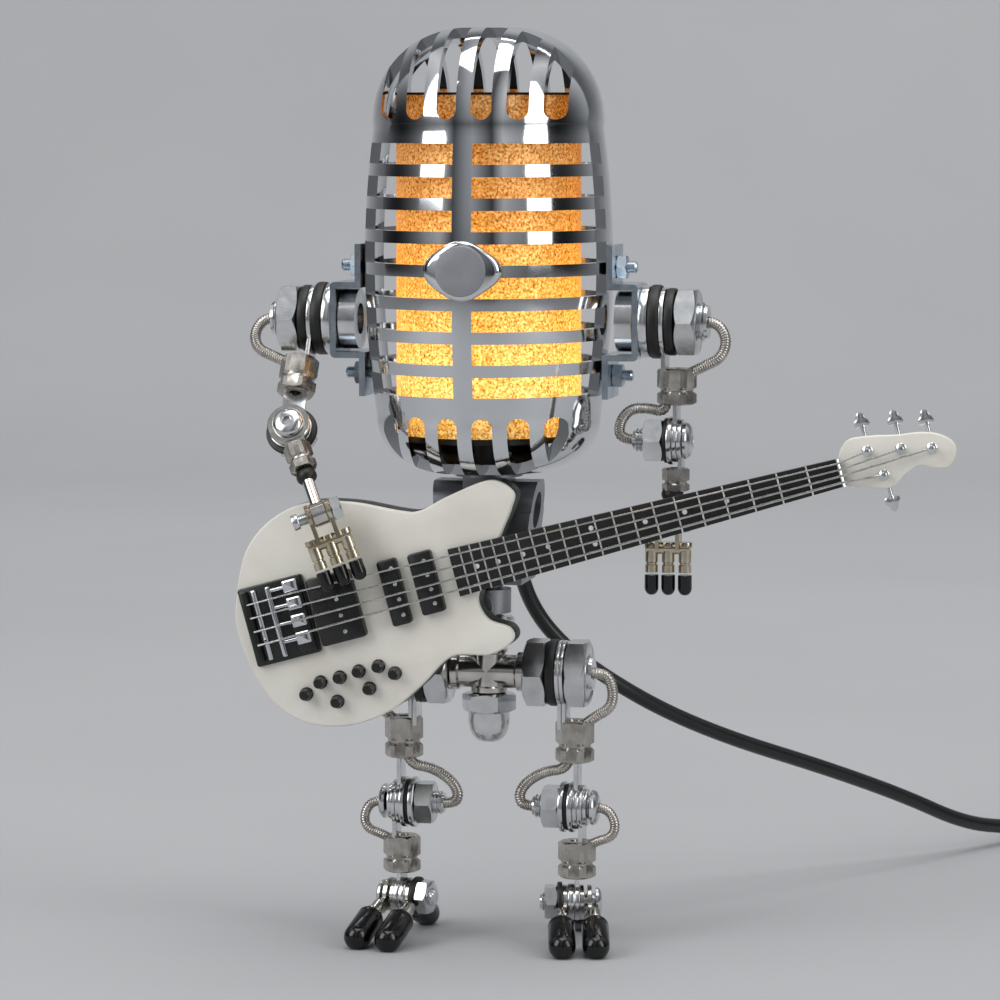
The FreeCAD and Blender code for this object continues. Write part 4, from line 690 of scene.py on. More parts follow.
# Dipped vinyl: black and glossy with a soft waviness.
vinyl = new_material("glossy_black_vinyl")
surface(vinyl, {
    "Base Color": ramp(vinyl, grain(vinyl, 3.0), [(0.3, "#050506"), (0.8, "#0D0D0E")]),
    "Roughness": ranged(vinyl, grain(vinyl, 2.0), 0.10, 0.22), "IOR": 1.5,
    "Normal": bumped(vinyl, grain(vinyl, 4.0), 0.3, 0.08)})
for side, hand_name in ((1, "left"), (-1, "right")):
    foot_body = hand_name + "_foot"
    splay = about((side * SHIN_X, 0, 0), math.radians(side * SPLAY), "Z")
    out = (side, 0, 0)
    r = M6_R * 0.75
    ankle = Shape()
    ankle.thread((side * 13.2, 0, ANKLE_Z), out, 14.2, r, 0.8)
    domed(ankle, (side * 27.4, 0, ANKLE_Z), out, 3.6, 1.5)
    ankle.nut((side * 14.4, 0, ANKLE_Z), out, 3.2, 8.0, r - 0.2)
    ankle.washer((side * 20.2, 0, ANKLE_Z), out, 1.75, 4.6, r, 0.3)
    piece(hand_name + "_ankle_bolt", ankle.moved(splay), foot_body, bright_zinc,
          "bright_zinc", (hand_name + "_ankle_hardware",))
    ankle_rubber = Shape()
    ankle_rubber.washer((side * 17.65, 0, ANKLE_Z), out, 1.25, 5.0, r, 0.3)
    piece(hand_name + "_ankle_rubber", ankle_rubber.moved(splay), foot_body, rubber, "black_rubber")
    toes = Shape()
    caps = Shape()
    for x, back in ((19.55, 1), (25.75, 1), (23.8, -1)):
        shift = math.copysign(1.1, x - SHIN_X) if back > 0 else 0.0
        away = Vector((0, -back * math.cos(TOE_LEAN), -math.sin(TOE_LEAN)))
        root = Vector((side * (x + shift), 0, ANKLE_Z)) + away * TOE_ROOT
        toes.turned([(r + 0.05, -0.55), (4.15, -0.55), (4.3, -0.4), (4.3, 0.4), (4.15, 0.55),
                     (r + 0.05, 0.55)],
                    (side * x, 0, ANKLE_Z), out, bored=True)
        toes.turned([
            (0.02, -1.6), (1.7, -1.6), (1.8, 0.9), (1.8, 2.4), (2.45, 2.45), (2.6, 2.6), (2.6, 3.45),
            (2.45, 3.6), (1.8, 3.7), (1.8, 5.0), (0.02, 5.0)], root, away, (1, 0, 0), 40)
        strip = [(-1.7, -0.55), (1.7, -0.55), (1.7, 0.55), (-1.7, 0.55)]
        cross = away.cross(Vector((1, 0, 0))).normalized()
        ends = []
        for far in (3.0, TOE_ROOT - 0.4):
            middle = Vector((side * x, 0, ANKLE_Z)) + away * far
            ends.append([middle + cross * a + Vector((1, 0, 0)) * b for a, b in strip])
        toes.rings(ends)
        caps.turned([
            (0.02, 0.0), (2.75, 0.0), (3.15, 0.12), (3.4, 0.5), (3.45, 1.1), (3.35, 1.6), (TOE_R, 2.1),
            (TOE_R, 8.9), (3.36, 9.85), (3.05, 10.75), (2.55, 11.5), (1.9, 12.05), (1.1, 12.4),
            (0.02, 12.5)],
            root + away * TOE_CAP_START, away, (1, 0, 0), 48)
    piece(hand_name + "_toe_rods", toes.moved(splay), foot_body, nickel, "nickel_brass",
          (hand_name + "_foot",))
    caps.points = [(p.x, p.y, max(p.z, 0.0)) for p in caps.moved(splay).points]
    piece(hand_name + "_toe_caps_dipped", caps, foot_body, vinyl, "black_rubber",
          (hand_name + "_toe_caps",))


# Swivel block
# A cast aluminium fork that tapers down to the stem. The head's tongue sits in it on a steel pin.
# The back takes the cord through a tapered rubber relief.

# Cast aluminium, tumbled: mid grey and satin, with the fine pebble of the casting.
cast_grey = new_material("satin_cast_aluminium")
surface(cast_grey, {
    "Base Color": ramp(cast_grey, grain(cast_grey, 6.0), [(0.3, "#83868A"), (0.75, "#9B9EA1")]),
    "Metallic": 0.85, "Roughness": ranged(cast_grey, grain(cast_grey, 1.2), 0.28, 0.42),
    "Normal": bumped(cast_grey, grain(cast_grey, 0.7), 0.35, 0.03)})


def coated(name, mat, slot, crease=30):
    """A CAD solid that keeps its shape and gets its finish, with edges sharp past an angle."""
    kept = nodes[name]
    kept.data.materials.clear()
    kept.data.materials.append(mat)
    kept.data.shade_smooth()
    kept.data.set_sharp_from_angle(angle=math.radians(crease))
    return kept


def rounded(made, name, width_mm, segments, angle=40, harden=True):
    """Round the edges where a piece's faces meet at more than an angle."""
    rounding = made.modifiers.new(name, "BEVEL")
    rounding.width = width_mm / 1000
    rounding.segments = segments
    rounding.limit_method = "ANGLE"
    rounding.angle_limit = math.radians(angle)
    rounding.harden_normals = harden


rounded(coated("swivel_block", cast_grey, "cast_grey"), "cast_edges", 0.7, 3)
coated("swivel_pin", black_oxide, "black_oxide")
rounded(coated("head_tongue", satin_steel, "satin_steel"), "cast_edges", 0.3, 3)
coated("strain_relief", rubber, "black_rubber")
coated("guitar_bracket", satin_steel, "satin_steel")


# Head shell
# Two die cast halves, front and rear, chromed, 2.5 mm thick and joined in the plane through the arms.
# Eight slots run round each side from the middle rib to the seam, with upright slots in dome and foot.
HEAD_BASE = 120.0
HEAD_W, HEAD_D, HEAD_H = 62.0, 68.0, 110.0
HEAD_END_R = 26.0
HEAD_WIDEST = 52.0
HEAD_BULGE_R = 242.0
HEAD_WALL = 2.5
SHELL_EDGE = 0.35
DOME_H, DOME_RUN, FOOT_H, FOOT_RUN = 25.0, 20.0, 14.0, 13.0


def through(a, b, c, count):
    """Points on the arc from a through b to c, in a plane."""
    (ax, ay), (bx, by), (cx, cy) = a, b, c
    d = 2 * (ax * (by - cy) + bx * (cy - ay) + cx * (ay - by))
    aa, bb, cc = ax * ax + ay * ay, bx * bx + by * by, cx * cx + cy * cy
    ux = (aa * (by - cy) + bb * (cy - ay) + cc * (ay - by)) / d
    uy = (aa * (cx - bx) + bb * (ax - cx) + cc * (bx - ax)) / d
    r = math.hypot(ax - ux, ay - uy)
    start, end = math.atan2(ay - uy, ax - ux), math.atan2(cy - uy, cx - ux)
    span = (end - start + math.pi) % (2 * math.pi) - math.pi
    return [(ux + r * math.cos(start + span * k / count), uy + r * math.sin(start + span * k / count))
            for k in range(count + 1)]


def bulge(z):
    """How far the shell's side is drawn in at a height above its base."""
    return HEAD_BULGE_R - math.sqrt(HEAD_BULGE_R ** 2 - (z - HEAD_WIDEST) ** 2)


def side_line(inset, bottom, top):
    """The shell's upright profile as (drawn in, height) from its foot to its crown."""
    z_dome = HEAD_H - DOME_H
    d_dome, d_foot = bulge(z_dome), bulge(FOOT_H)
    half = math.sqrt(0.5)
    d_end = d_dome + DOME_RUN
    base_in = d_foot + FOOT_RUN
    a, b = (base_in, bottom), (d_foot + inset, FOOT_H)
    ab = (d_foot + inset + (base_in - d_foot - inset) * (1 - half), bottom + (FOOT_H - bottom) * (1 - half))
    c0, d = (inset, HEAD_WIDEST), (d_dome + inset, z_dome)
    run = d_end - d_dome - inset
    dt = (d_dome + inset + run * (1 - half), z_dome + (top - z_dome) * half)
    line = through(a, ab, b, 16)
    line += through(b, c0, d, 40)[1:]
    line += through(d, dt, (d_end, top), 24)[1:]
    return line


def plan_ring(drawn_in, z, count=176):
    """One level ring of the shell's four-arc oval, drawn in from its widest."""
    c = HEAD_D / 2 - HEAD_END_R
    k = HEAD_W / 2 - HEAD_END_R
    e = (c * c - k * k) / (2 * k)
    side_r = HEAD_W / 2 + e
    lean = math.degrees(math.atan2(c, e))
    ring = []
    for step in range(count):
        turn = 360 * (step + 0.5) / count
        if lean <= turn <= 180 - lean:
            middle, radius = (0, c), HEAD_END_R
        elif 180 - lean < turn < 180 + lean:
            middle, radius = (e, 0), side_r
        elif 180 + lean <= turn <= 360 - lean:
            middle, radius = (0, -c), HEAD_END_R
        else:
            middle, radius = (-e, 0), side_r
        r = radius - drawn_in
        ring.append((middle[0] + r * math.cos(math.radians(turn)),
                     middle[1] + r * math.sin(math.radians(turn)), HEAD_BASE + z))
    return ring


def shell_body(name, inset, bottom, top):
    """A closed body with the shell's form, as a plain object for cutting."""
    shape = Shape()
    rings = [plan_ring(d, z) for d, z in side_line(inset, bottom, top)]
    shape.rings(rings)
    return blank(name, shape)


def blank(name, shape):
    """A working object that isn't kept."""
    mesh = bpy.data.meshes.new(name)
    mesh.from_pydata([place(*p) for p in shape.points], [], shape.faces)
    tidy = bmesh.new()
    tidy.from_mesh(mesh)
    bmesh.ops.recalc_face_normals(tidy, faces=tidy.faces)
    tidy.to_mesh(mesh)
    tidy.free()
    made = bpy.data.objects.new(name, mesh)
    scene.collection.objects.link(made)
    return made


def block_into(shape, x0, x1, y0, y1, z0, z1):
    """Add a plain box to a cutting shape."""
    shape.rings([[(x0, y0, z), (x1, y0, z), (x1, y1, z), (x0, y1, z)] for z in (z0, z1)])


def cut_away(target, cutter):
    """Cut one working object with another, at once, and drop the second."""
    cut = target.modifiers.new("cut", "BOOLEAN")
    cut.operation = "DIFFERENCE"
    cut.object = cutter
    cut.solver = "EXACT"
    bpy.context.view_layer.update()
    shown = target.evaluated_get(bpy.context.evaluated_depsgraph_get())
    mesh = bpy.data.meshes.new_from_object(shown)
    target.modifiers.clear()
    target.data = mesh
    bpy.data.objects.remove(cutter)


SLOT_COUNT, SLOT_PITCH, SLOT_H, SLOT_LOW = 8, 8.1, 5.1, 22.5
RIB_W = 4.8
SEAM_BAND = 10.0
FIN_X = (4.3, 12.7, 20.8)
FIN_W = 5.0
cutter = Shape()
far = 45.0
for k in range(SLOT_COUNT):
    z0 = HEAD_BASE + SLOT_LOW + k * SLOT_PITCH - SLOT_H / 2
    for side in (1, -1):
        for front in (1, -1):
            x0, x1 = sorted((side * RIB_W / 2, side * far))
            y0, y1 = sorted((front * SEAM_BAND / 2, front * far))
            block_into(cutter, x0, x1, y0, y1, z0, z0 + SLOT_H)
for x in FIN_X:
    for side in (1, -1):
        for front in (1, -1):
            for end_z, stop_z, depth, way in ((90.0, 118.0, 9.0, -1), (12.4, -6.0, 16.0, 1)):
                outline = [(side * x + half, HEAD_BASE + stop_z) for half in (-FIN_W / 2, FIN_W / 2)]
                for k in range(13):
                    turn = math.pi * k / 12
                    px = side * x + FIN_W / 2 * math.cos(turn)
                    outline.append((px, HEAD_BASE + end_z + way * FIN_W / 2 * math.sin(turn)))
                y0, y1 = sorted((front * depth, front * far))
                cutter.rings([[(px, y, pz) for px, pz in outline] for y in (y0, y1)])
slots = blank("slot_cutters", cutter)
shell = shell_body("shell_outside", 0.0, 0.0, HEAD_H)
inside = shell_body("shell_inside", HEAD_WALL, HEAD_WALL, HEAD_H - HEAD_WALL)
cut_away(shell, inside)
cut_away(shell, slots)

# Polished chrome on zinc: a cold mirror, with slight ripples of hand polishing and faint finger smears.
chrome = new_material("polished_chrome")
surface(chrome, {
    "Base Color": ramp(chrome, grain(chrome, 30.0), [(0.3, "#D3D5D8"), (0.7, "#E2E4E6")]),
    "Metallic": 1.0, "Roughness": ranged(chrome, grain(chrome, 9.0), 0.05, 0.11),
    "Normal": bumped(chrome, grain(chrome, 9.0, 1.0), 0.25, 0.06)})

BADGE_Z = HEAD_BASE + 51.0
boss = Shape()
front_y = -HEAD_D / 2
ring_points = []
for lift, spread in ((-1.0, 1.0), (0.45, 1.0), (1.0, 0.94), (1.2, 0.84)):
    ring = []
    for k in range(48):
        turn = 2 * math.pi * k / 48
        r = 7.3 + 2.4 * abs(math.cos(turn)) ** 7
        x = r * spread * math.cos(turn)
        y = front_y - lift + x * x / 52
        ring.append((x, y, BADGE_Z + r * spread * math.sin(turn)))
    ring_points.append(ring)
boss.rings(ring_points)
wing = blank("badge_boss", boss)


def shell_half(name, node, keep_front):
    """One half of the cut shell as a piece, closed at the seam, with its edges rounded."""
    mesh = shell.data.copy()
    cut = bmesh.new()
    cut.from_mesh(mesh)
    seam = place(0, 0, 0)
    everything = cut.verts[:] + cut.edges[:] + cut.faces[:]
    bmesh.ops.bisect_plane(cut, geom=everything, plane_co=seam, plane_no=(0, 1, 0), clear_outer=keep_front,
                           clear_inner=not keep_front)
    rim = [e for e in cut.edges if e.is_boundary]
    bmesh.ops.triangle_fill(cut, edges=rim, use_beauty=True, normal=(0, 1, 0))
    bmesh.ops.remove_doubles(cut, verts=cut.verts, dist=2e-6)
    bmesh.ops.dissolve_degenerate(cut, edges=cut.edges, dist=2e-6)
    bmesh.ops.recalc_face_normals(cut, faces=cut.faces)
    cut.to_mesh(mesh)
    cut.free()
    mesh.materials.clear()
    mesh.materials.append(chrome)
    mesh.shade_smooth()
    mesh.set_sharp_from_angle(angle=math.radians(38))
    made = bpy.data.objects.new(name, mesh)
    scene.collection.objects.link(made)
    rounded(made, "polished_edges", SHELL_EDGE, 3, 45)
    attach(made, "head")
    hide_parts(node)


shell_half("chrome_shell_front", "front_shell", True)
shell_half("chrome_shell_rear", "rear_shell", False)
bpy.data.objects.remove(shell)
wing.data.materials.append(chrome)
wing.data.shade_smooth()
wing.data.set_sharp_from_angle(angle=math.radians(50))
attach(wing, "head")
badge = Shape()
badge.turned([(0.02, 0.0), (6.15, 0.0), (6.2, 0.12), (6.2, 0.72), (6.05, 0.92), (5.8, 1.0), (3.0, 1.04),
              (0.02, 1.05)],
             (0, front_y - 0.6, BADGE_Z), (0, -1, 0), steps=72)
# Spun satin disc: even pale grey with a soft sheen.
disc_grey = new_material("satin_grey_disc")
surface(disc_grey, {
    "Base Color": ramp(disc_grey, grain(disc_grey, 5.0), [(0.3, "#8E8F95"), (0.75, "#97989D")]),
    "Metallic": 0.35, "Roughness": ranged(disc_grey, grain(disc_grey, 0.8), 0.42, 0.52),
    "Normal": bumped(disc_grey, grain(disc_grey, 0.4), 0.2, 0.01)})
piece("badge_disc", badge, "head", disc_grey, "satin_steel", ("badge",))


# Lamp and its gold liner
# A sleeve of crackled gold film round an LED globe shows amber through the slots, paler low down, with a
# painted glow in its surface in place of the globe's light through the film.
# A black card closes its top as painted shade for the dome, and the globe stands in a black holder.
SLEEVE_GAP = 8.0
FILM_T = 0.6
SLEEVE_LOW, SLEEVE_HIGH = 9.5, 93.5
sleeve = Shape()
levels = 24
level_z = [SLEEVE_LOW + (SLEEVE_HIGH - SLEEVE_LOW) * k / levels for k in range(levels + 1)]
outer_rings = [plan_ring(SLEEVE_GAP, z) for z in level_z]
inner_rings = [plan_ring(SLEEVE_GAP + FILM_T, z) for z in reversed(level_z)]
sleeve.rings(outer_rings + inner_rings, closed=True)
# Crackled gold film over a lamp: fine amber flecks and dark cracks, with a painted glow in place of the
# lamp's light through the film, falling off with height.
gold = new_material("crackled_gold_film_painted_glow")
spot = add(gold, "TexCoord").outputs["Object"]
height = add(gold, "SeparateXYZ", {}, {0: spot}).outputs["Z"]
# Painted light: the glow's colour goes from pale low down to dark amber higher up, as the globe's light falls
# off.
glow = ranged(gold, height, 1.0, 0.0, 0.128, 0.214)
painted_glow_dimmed_low = ranged(gold, height, 0.25, 1.0, 0.127, 0.142)
fleck = grain(gold, 1 / 1.5, 4.0, 0.7)
warm = ramp(gold, glow, [(0.0, "#6A4618"), (0.3, "#A67630"), (0.55, "#DDB05C"), (0.8, "#FADA98"),
                         (1.0, "#FFE6B0")])
speckle = ramp(gold, fleck, [(0.36, "#7A5A2C"), (0.46, "#C49A58"), (0.56, "#EDCB8C"), (0.68, "#FFF6DE")])
lit = add(gold, "Mix", {"data_type": "RGBA", "blend_type": "MULTIPLY"},
          {0: 1.0, 6: warm, 7: speckle}).outputs[2]
# Painted light: the strength of the painted glow, dimmed at the very bottom of the sleeve.
light = add(gold, "Math", {"operation": "MULTIPLY"}, {0: painted_glow_dimmed_low, 1: 1.9}).outputs[0]
surface(gold, {
    "Base Color": speckle, "Metallic": 0.6, "Roughness": ranged(gold, fleck, 0.3, 0.6),
    "Emission Color": lit, "Emission Strength": light, "Normal": bumped(gold, fleck, 0.6, 0.15)})
piece("gold_liner", sleeve, "head", gold, "amber_film", ("light_sleeve",))

# A black card across the sleeve's top is painted shade: a dark sheet that keeps the dome dark above the glow.
card = new_material("black_card")
surface(card, {"Base Color": ramp(card, grain(card, 1.0), [(0.3, "#070707"), (0.8, "#0E0D0D")]),
               "Roughness": 0.9})
shade_card_shape = Shape()
shade_card_shape.rings([plan_ring(SLEEVE_GAP - 0.3, z) for z in (SLEEVE_HIGH, SLEEVE_HIGH + 0.6)])
piece("dome_shade_card", shade_card_shape, "head", card, "holder_black")

globe = Shape()
globe.turned([
    (0.02, 0.2), (6.5, 0.2), (6.5, 12.0), (8.0, 14.0), (11.4, 15.4), (13.4, 17.6), (14.0, 20.0),
    (13.7, 22.9), (12.6, 26.1), (10.6, 29.2), (7.8, 31.7), (4.6, 33.3), (2.2, 33.9), (0.02, 34.0)],
    (0, 0, HEAD_BASE + 9.5), (0, 0, 1))
# Frosted globe: warm white and softly lit.
frosted = new_material("frosted_warm_globe")
surface(frosted, {
    "Base Color": ramp(frosted, grain(frosted, 4.0), [(0.3, "#F2DDB4"), (0.7, "#F8E6C4")]),
    "Roughness": 0.5, "Emission Color": colour("#FFC46B"), "Emission Strength": 1.6})
piece("led_globe", globe, "head", frosted, "bulb_glass", ("led_bulb",))
# Black phenolic lampholder: hard, dark and faintly glossy.
phenolic = new_material("black_phenolic")
surface(phenolic, {
    "Base Color": ramp(phenolic, grain(phenolic, 2.0), [(0.3, "#0B0A09"), (0.8, "#171513")]),
    "Roughness": 0.35, "Normal": bumped(phenolic, grain(phenolic, 1.0), 0.2, 0.02)})
kept = nodes["lamp_holder"]
kept.data.materials.clear()
kept.data.materials.append(phenolic)


# Shoulders
# A hat bracket of blue passivated strip on each side is screwed to the shell and carries an M10 socket bolt.
# Outside it come a steel washer, rubber, the arm's ring lug, rubber and a nut.
SHOULDER_Z = 157.5
BRACKET_IN, BRACKET_OUT = 37.5, 39.0
FOOT_NEAR, FOOT_FAR, SCREW_UP = 8.0, 19.0, 13.5
shoulder_bolts = Shape()
shoulder_screws = Shape()
shoulder_rubber = Shape()
for side, hand_name in ((1, "left"), (-1, "right")):
    out = (side, 0, 0)
    shoulder_bolts.thread((side * 55.5, 0, SHOULDER_Z), (-side, 0, 0), 16.0, M10_R, 1.25, 1.6)
    shoulder_bolts.turned([
        (7.0, 0.0), (7.4, 0.15), (7.6, 0.4), (7.6, 4.6), (4.1, 4.6), (3.9, 4.5), (3.9, 2.0), (0.02, 2.0),
        (0.02, 0.0)],
        (side * BRACKET_IN, 0, SHOULDER_Z), (-side, 0, 0), steps=56)
    shoulder_bolts.washer((side * BRACKET_OUT, 0, SHOULDER_Z), out, 2.2, 9.0, M10_R, 0.35)
    shoulder_bolts.nut((side * 47.7, 0, SHOULDER_Z), out, 5.4, M10_FLATS, M10_R - 0.3)
    shoulder_rubber.washer((side * 41.25, 0, SHOULDER_Z), out, 2.7, 9.2, M10_R, 0.6)
    shoulder_rubber.washer((side * 45.3, 0, SHOULDER_Z), out, 2.3, 8.4, M10_R, 0.5)
    for up in (1, -1):
        hz = SHOULDER_Z + up * SCREW_UP
        foot_low, foot_high = sorted((SHOULDER_Z + up * FOOT_NEAR, SHOULDER_Z + up * FOOT_FAR))
        touch_z = min(max(HEAD_BASE + HEAD_WIDEST, foot_low), foot_high)
        seat = HEAD_W / 2 - bulge(touch_z - HEAD_BASE) + 1.6
        shoulder_screws.thread((side * (seat - 3.0), 0, hz), out, 8.0, 1.5, 0.5, steps=28)
        shoulder_screws.nut((side * (seat + 0.02), 0, hz), out, 2.6, 5.5, 1.4)
piece("shoulder_bolts", shoulder_bolts, "head", bright_zinc, "bright_zinc", ("shoulder_hardware",))
piece("shoulder_screws", shoulder_screws, "head", blue_zinc, "blue_zinc")
piece("shoulder_rubber_rings", shoulder_rubber, "head", rubber, "black_rubber", ("shoulder_rubbers",))
rounded(coated("shoulder_brackets", blue_zinc, "blue_zinc", 28), "sheared_edges", 0.2, 2)


# Arms
# Each arm is a ring lug crimped to a palm lug, an elbow bolt, and a forearm of ferrule, ball and thin tube.
# The right arm is swung forward over the guitar, and the left hangs behind its neck.
RIGHT_SWING = math.radians(32.0)
ELBOW_TURN = math.radians(24.0)
SHOULDER_LUG_X = 44.6
ARM_X = 47.0
LEFT_ELBOW_Z = 128.0
right_swing = about((-SHOULDER_LUG_X, 0, SHOULDER_Z), -RIGHT_SWING, "X")
lug("left_shoulder_lug", 1, 44.05, SHOULDER_Z, 8.5, 5.05, 144.0, 3.5, 1.1, "left_upper_arm", None,
    ("left_upper_arm",))
ferrule("left_arm_ferrule", (47.6, 0, 137.0), (47.6, 0, 146.0), 8.6, "left_upper_arm")
lug("left_elbow_lug", 1, ARM_X, LEFT_ELBOW_Z, 5.4, 3.05, 139.0, 3.0, 1.1, "left_upper_arm")
ribbed_hose("left_arm_hose_loop", [
    (52.0, 0, SHOULDER_Z), (57.2, 0, SHOULDER_Z + 0.5), (60.2, 0, 153.6), (58.8, 0, 148.6),
    (54.0, 0, 146.4), (49.6, 0, 144.2)], "left_upper_arm", ("left_upper_arm_hose",))
ribbed_hose("left_elbow_hose_loop", [
    (45.2, -1.0, 138.4), (45.2, -1.0, 135.0), (40.0, -1.0, 136.2), (35.6, -0.9, 135.6), (33.0, -0.4, 131.6),
    (33.6, 0, 127.8), (40.0, 0, LEFT_ELBOW_Z)], "left_upper_arm")
elbow = Shape()
elbow.thread((36.8, 0, LEFT_ELBOW_Z), (1, 0, 0), 12.8, M6_R, 0.9, 1.5)
domed(elbow, (49.6, 0, LEFT_ELBOW_Z), (1, 0, 0), 4.6, 2.0)
elbow.nut((39.6, 0, LEFT_ELBOW_Z), (1, 0, 0), 5.0, M6_FLATS, M6_R - 0.25)
elbow.washer((45.65, 0, LEFT_ELBOW_Z), (1, 0, 0), 1.25, 6.0, M6_R)
piece("left_elbow_bolt", elbow, "left_upper_arm", bright_zinc, "bright_zinc", ("left_elbow_hardware",))
elbow_rubber = Shape()
elbow_rubber.washer((44.65, 0, LEFT_ELBOW_Z), (1, 0, 0), 0.95, 5.6, M6_R, 0.25)
piece("left_elbow_rubber", elbow_rubber, "left_upper_arm", rubber, "black_rubber")

# The right elbow bolt runs front to back, so that the forearm swings across the figure.
right_lug = Matrix(((0, 0, -1, -SHOULDER_LUG_X), (-1, 0, 0, 0), (0, -1, 0, SHOULDER_Z), (0, 0, 0, 1)))
plate("right_shoulder_lug", [eye(8.5, 3.5, 14.1), circle(5.05)], 1.1, right_swing @ right_lug,
      "right_upper_arm", bright_zinc, "bright_zinc", ("right_upper_arm",))
ferrule("right_arm_ferrule", (-ARM_X, 0, 135.8), (-ARM_X, 0, 145.4), 8.6, "right_upper_arm", right_swing)
ELBOW_Z = SHOULDER_Z - 31.5
palm = Matrix(((1, 0, 0, -ARM_X), (0, 0, -1, 0), (0, 1, 0, ELBOW_Z), (0, 0, 0, 1)))
plate("right_elbow_lug", [eye(5.4, 3.0, 11.8), circle(3.05)], 1.1, right_swing @ palm, "right_upper_arm",
      bright_zinc, "bright_zinc")
ribbed_hose("right_arm_hose_loop", [
    (-52.0, 0, SHOULDER_Z), (-57.2, 0, SHOULDER_Z + 0.5), (-60.0, 0, 153.6), (-58.8, 0, 148.6),
    (-54.0, 0, 146.4), (-49.2, 0, 144.2)], "right_upper_arm", ("right_upper_arm_hose",), 1.4, right_swing)
bolt = Shape()
bolt.thread((-ARM_X, -3.0, ELBOW_Z), (0, 1, 0), 10.2, M6_R, 0.9)
domed(bolt, (-ARM_X, -3.0, ELBOW_Z), (0, -1, 0), 3.9, 1.8)
bolt.nut((-ARM_X, 2.2, ELBOW_Z), (0, 1, 0), 4.0, M6_FLATS, M6_R - 0.25)
piece("right_elbow_bolt", bolt.moved(right_swing), "right_upper_arm", bright_zinc,
      "bright_zinc", ("right_elbow_hardware",))
backing = Shape()
backing.washer((-ARM_X, 0.65, ELBOW_Z), (0, 1, 0), 1.5, 6.5, M6_R, 0.5)
piece("right_elbow_rubber", backing.moved(right_swing), "right_upper_arm", rubber, "black_rubber")
FOREARM_Y = -2.35
FOREARM_L = 27.0
bend = right_swing @ about((-ARM_X, 0, ELBOW_Z), -ELBOW_TURN, "Y")
fore = Shape()
fore.turned([(3.05, -0.55), (5.25, -0.55), (5.4, -0.4), (5.4, 0.4), (5.25, 0.55), (3.05, 0.55)],
            (-ARM_X, FOREARM_Y, ELBOW_Z), (0, -1, 0), bored=True)
tail = [(-2.6, -0.55), (2.6, -0.55), (2.6, 0.55), (-2.6, 0.55)]
fore.rings([[(a - ARM_X, FOREARM_Y + b, z) for a, b in tail] for z in (ELBOW_Z - 8.0, ELBOW_Z - 4.6)])
fore.turned([(0.02, 0), (1.5, 0), (1.5, 13.0), (0.02, 13.0)], (-ARM_X, FOREARM_Y, ELBOW_Z - FOREARM_L),
            (0, 0, 1), steps=28)
fore.turned([(1.55, -1.9), (2.8, -1.9), (3.0, -1.7), (3.0, 1.7), (2.8, 1.9), (1.55, 1.9)],
            (-ARM_X, FOREARM_Y, ELBOW_Z - FOREARM_L), (1, 0, 0), steps=36, bored=True)
piece("right_forearm_rod", fore.moved(bend), "right_forearm", nickel, "nickel_brass", ("right_forearm",))
ferrule("right_forearm_ferrule", (-ARM_X, FOREARM_Y, ELBOW_Z - 14.0), (-ARM_X, FOREARM_Y, ELBOW_Z - 6.5),
        6.0, "right_forearm", bend)
collar = Shape()
collar.turned([(1.4, 0.0), (2.1, 0.0), (2.5, 0.5), (2.6, 1.3), (2.4, 2.2), (1.8, 2.9), (1.4, 2.9)],
              (-ARM_X, FOREARM_Y, ELBOW_Z - 17.0), (0, 0, 1), steps=36, bored=True)
piece("right_forearm_collar", collar.moved(bend), "right_forearm", rubber, "black_rubber")
left_fore = Shape()
left_fore.turned([(0.02, 0), (1.6, 0), (1.6, 8.0), (0.02, 8.0)], (45.7, 0, 110.4), (0.196, 0, 1), steps=28)
left_fore.turned([(1.55, 0), (3.0, 0), (3.2, 0.2), (3.2, 3.6), (3.0, 3.8), (1.55, 3.8)], (43.7, 0, 108.0),
                 (1, 0, 0), steps=36, bored=True)
piece("left_forearm_rod", left_fore, "left_forearm", nickel, "nickel_brass")
lug("left_forearm_lug", 1, 48.2, LEFT_ELBOW_Z, 5.4, 3.05, 120.0, 2.5, 1.1, "left_forearm", None,
    ("left_forearm",))
ferrule("left_forearm_ferrule", (47.4, 0, 115.4), (47.4, 0, 121.2), 6.0, "left_forearm")
ball = Shape()
ball.turned([(0.02, 0.0), (1.4, 0.3), (2.3, 1.1), (2.75, 2.2), (2.75, 3.0), (2.3, 4.1), (1.4, 4.9),
             (0.02, 5.2)],
            (46.6, 0, 112.0), (0, 0, 1), steps=40)
piece("left_forearm_ball", ball, "left_forearm", rubber, "black_rubber")


# Hands
# A wrist bolt with a knurled nut, two cheeks, a knuckle bar and three turned fingers with black rubber tips.
# The hands move as one piece each on their wrist bolts.

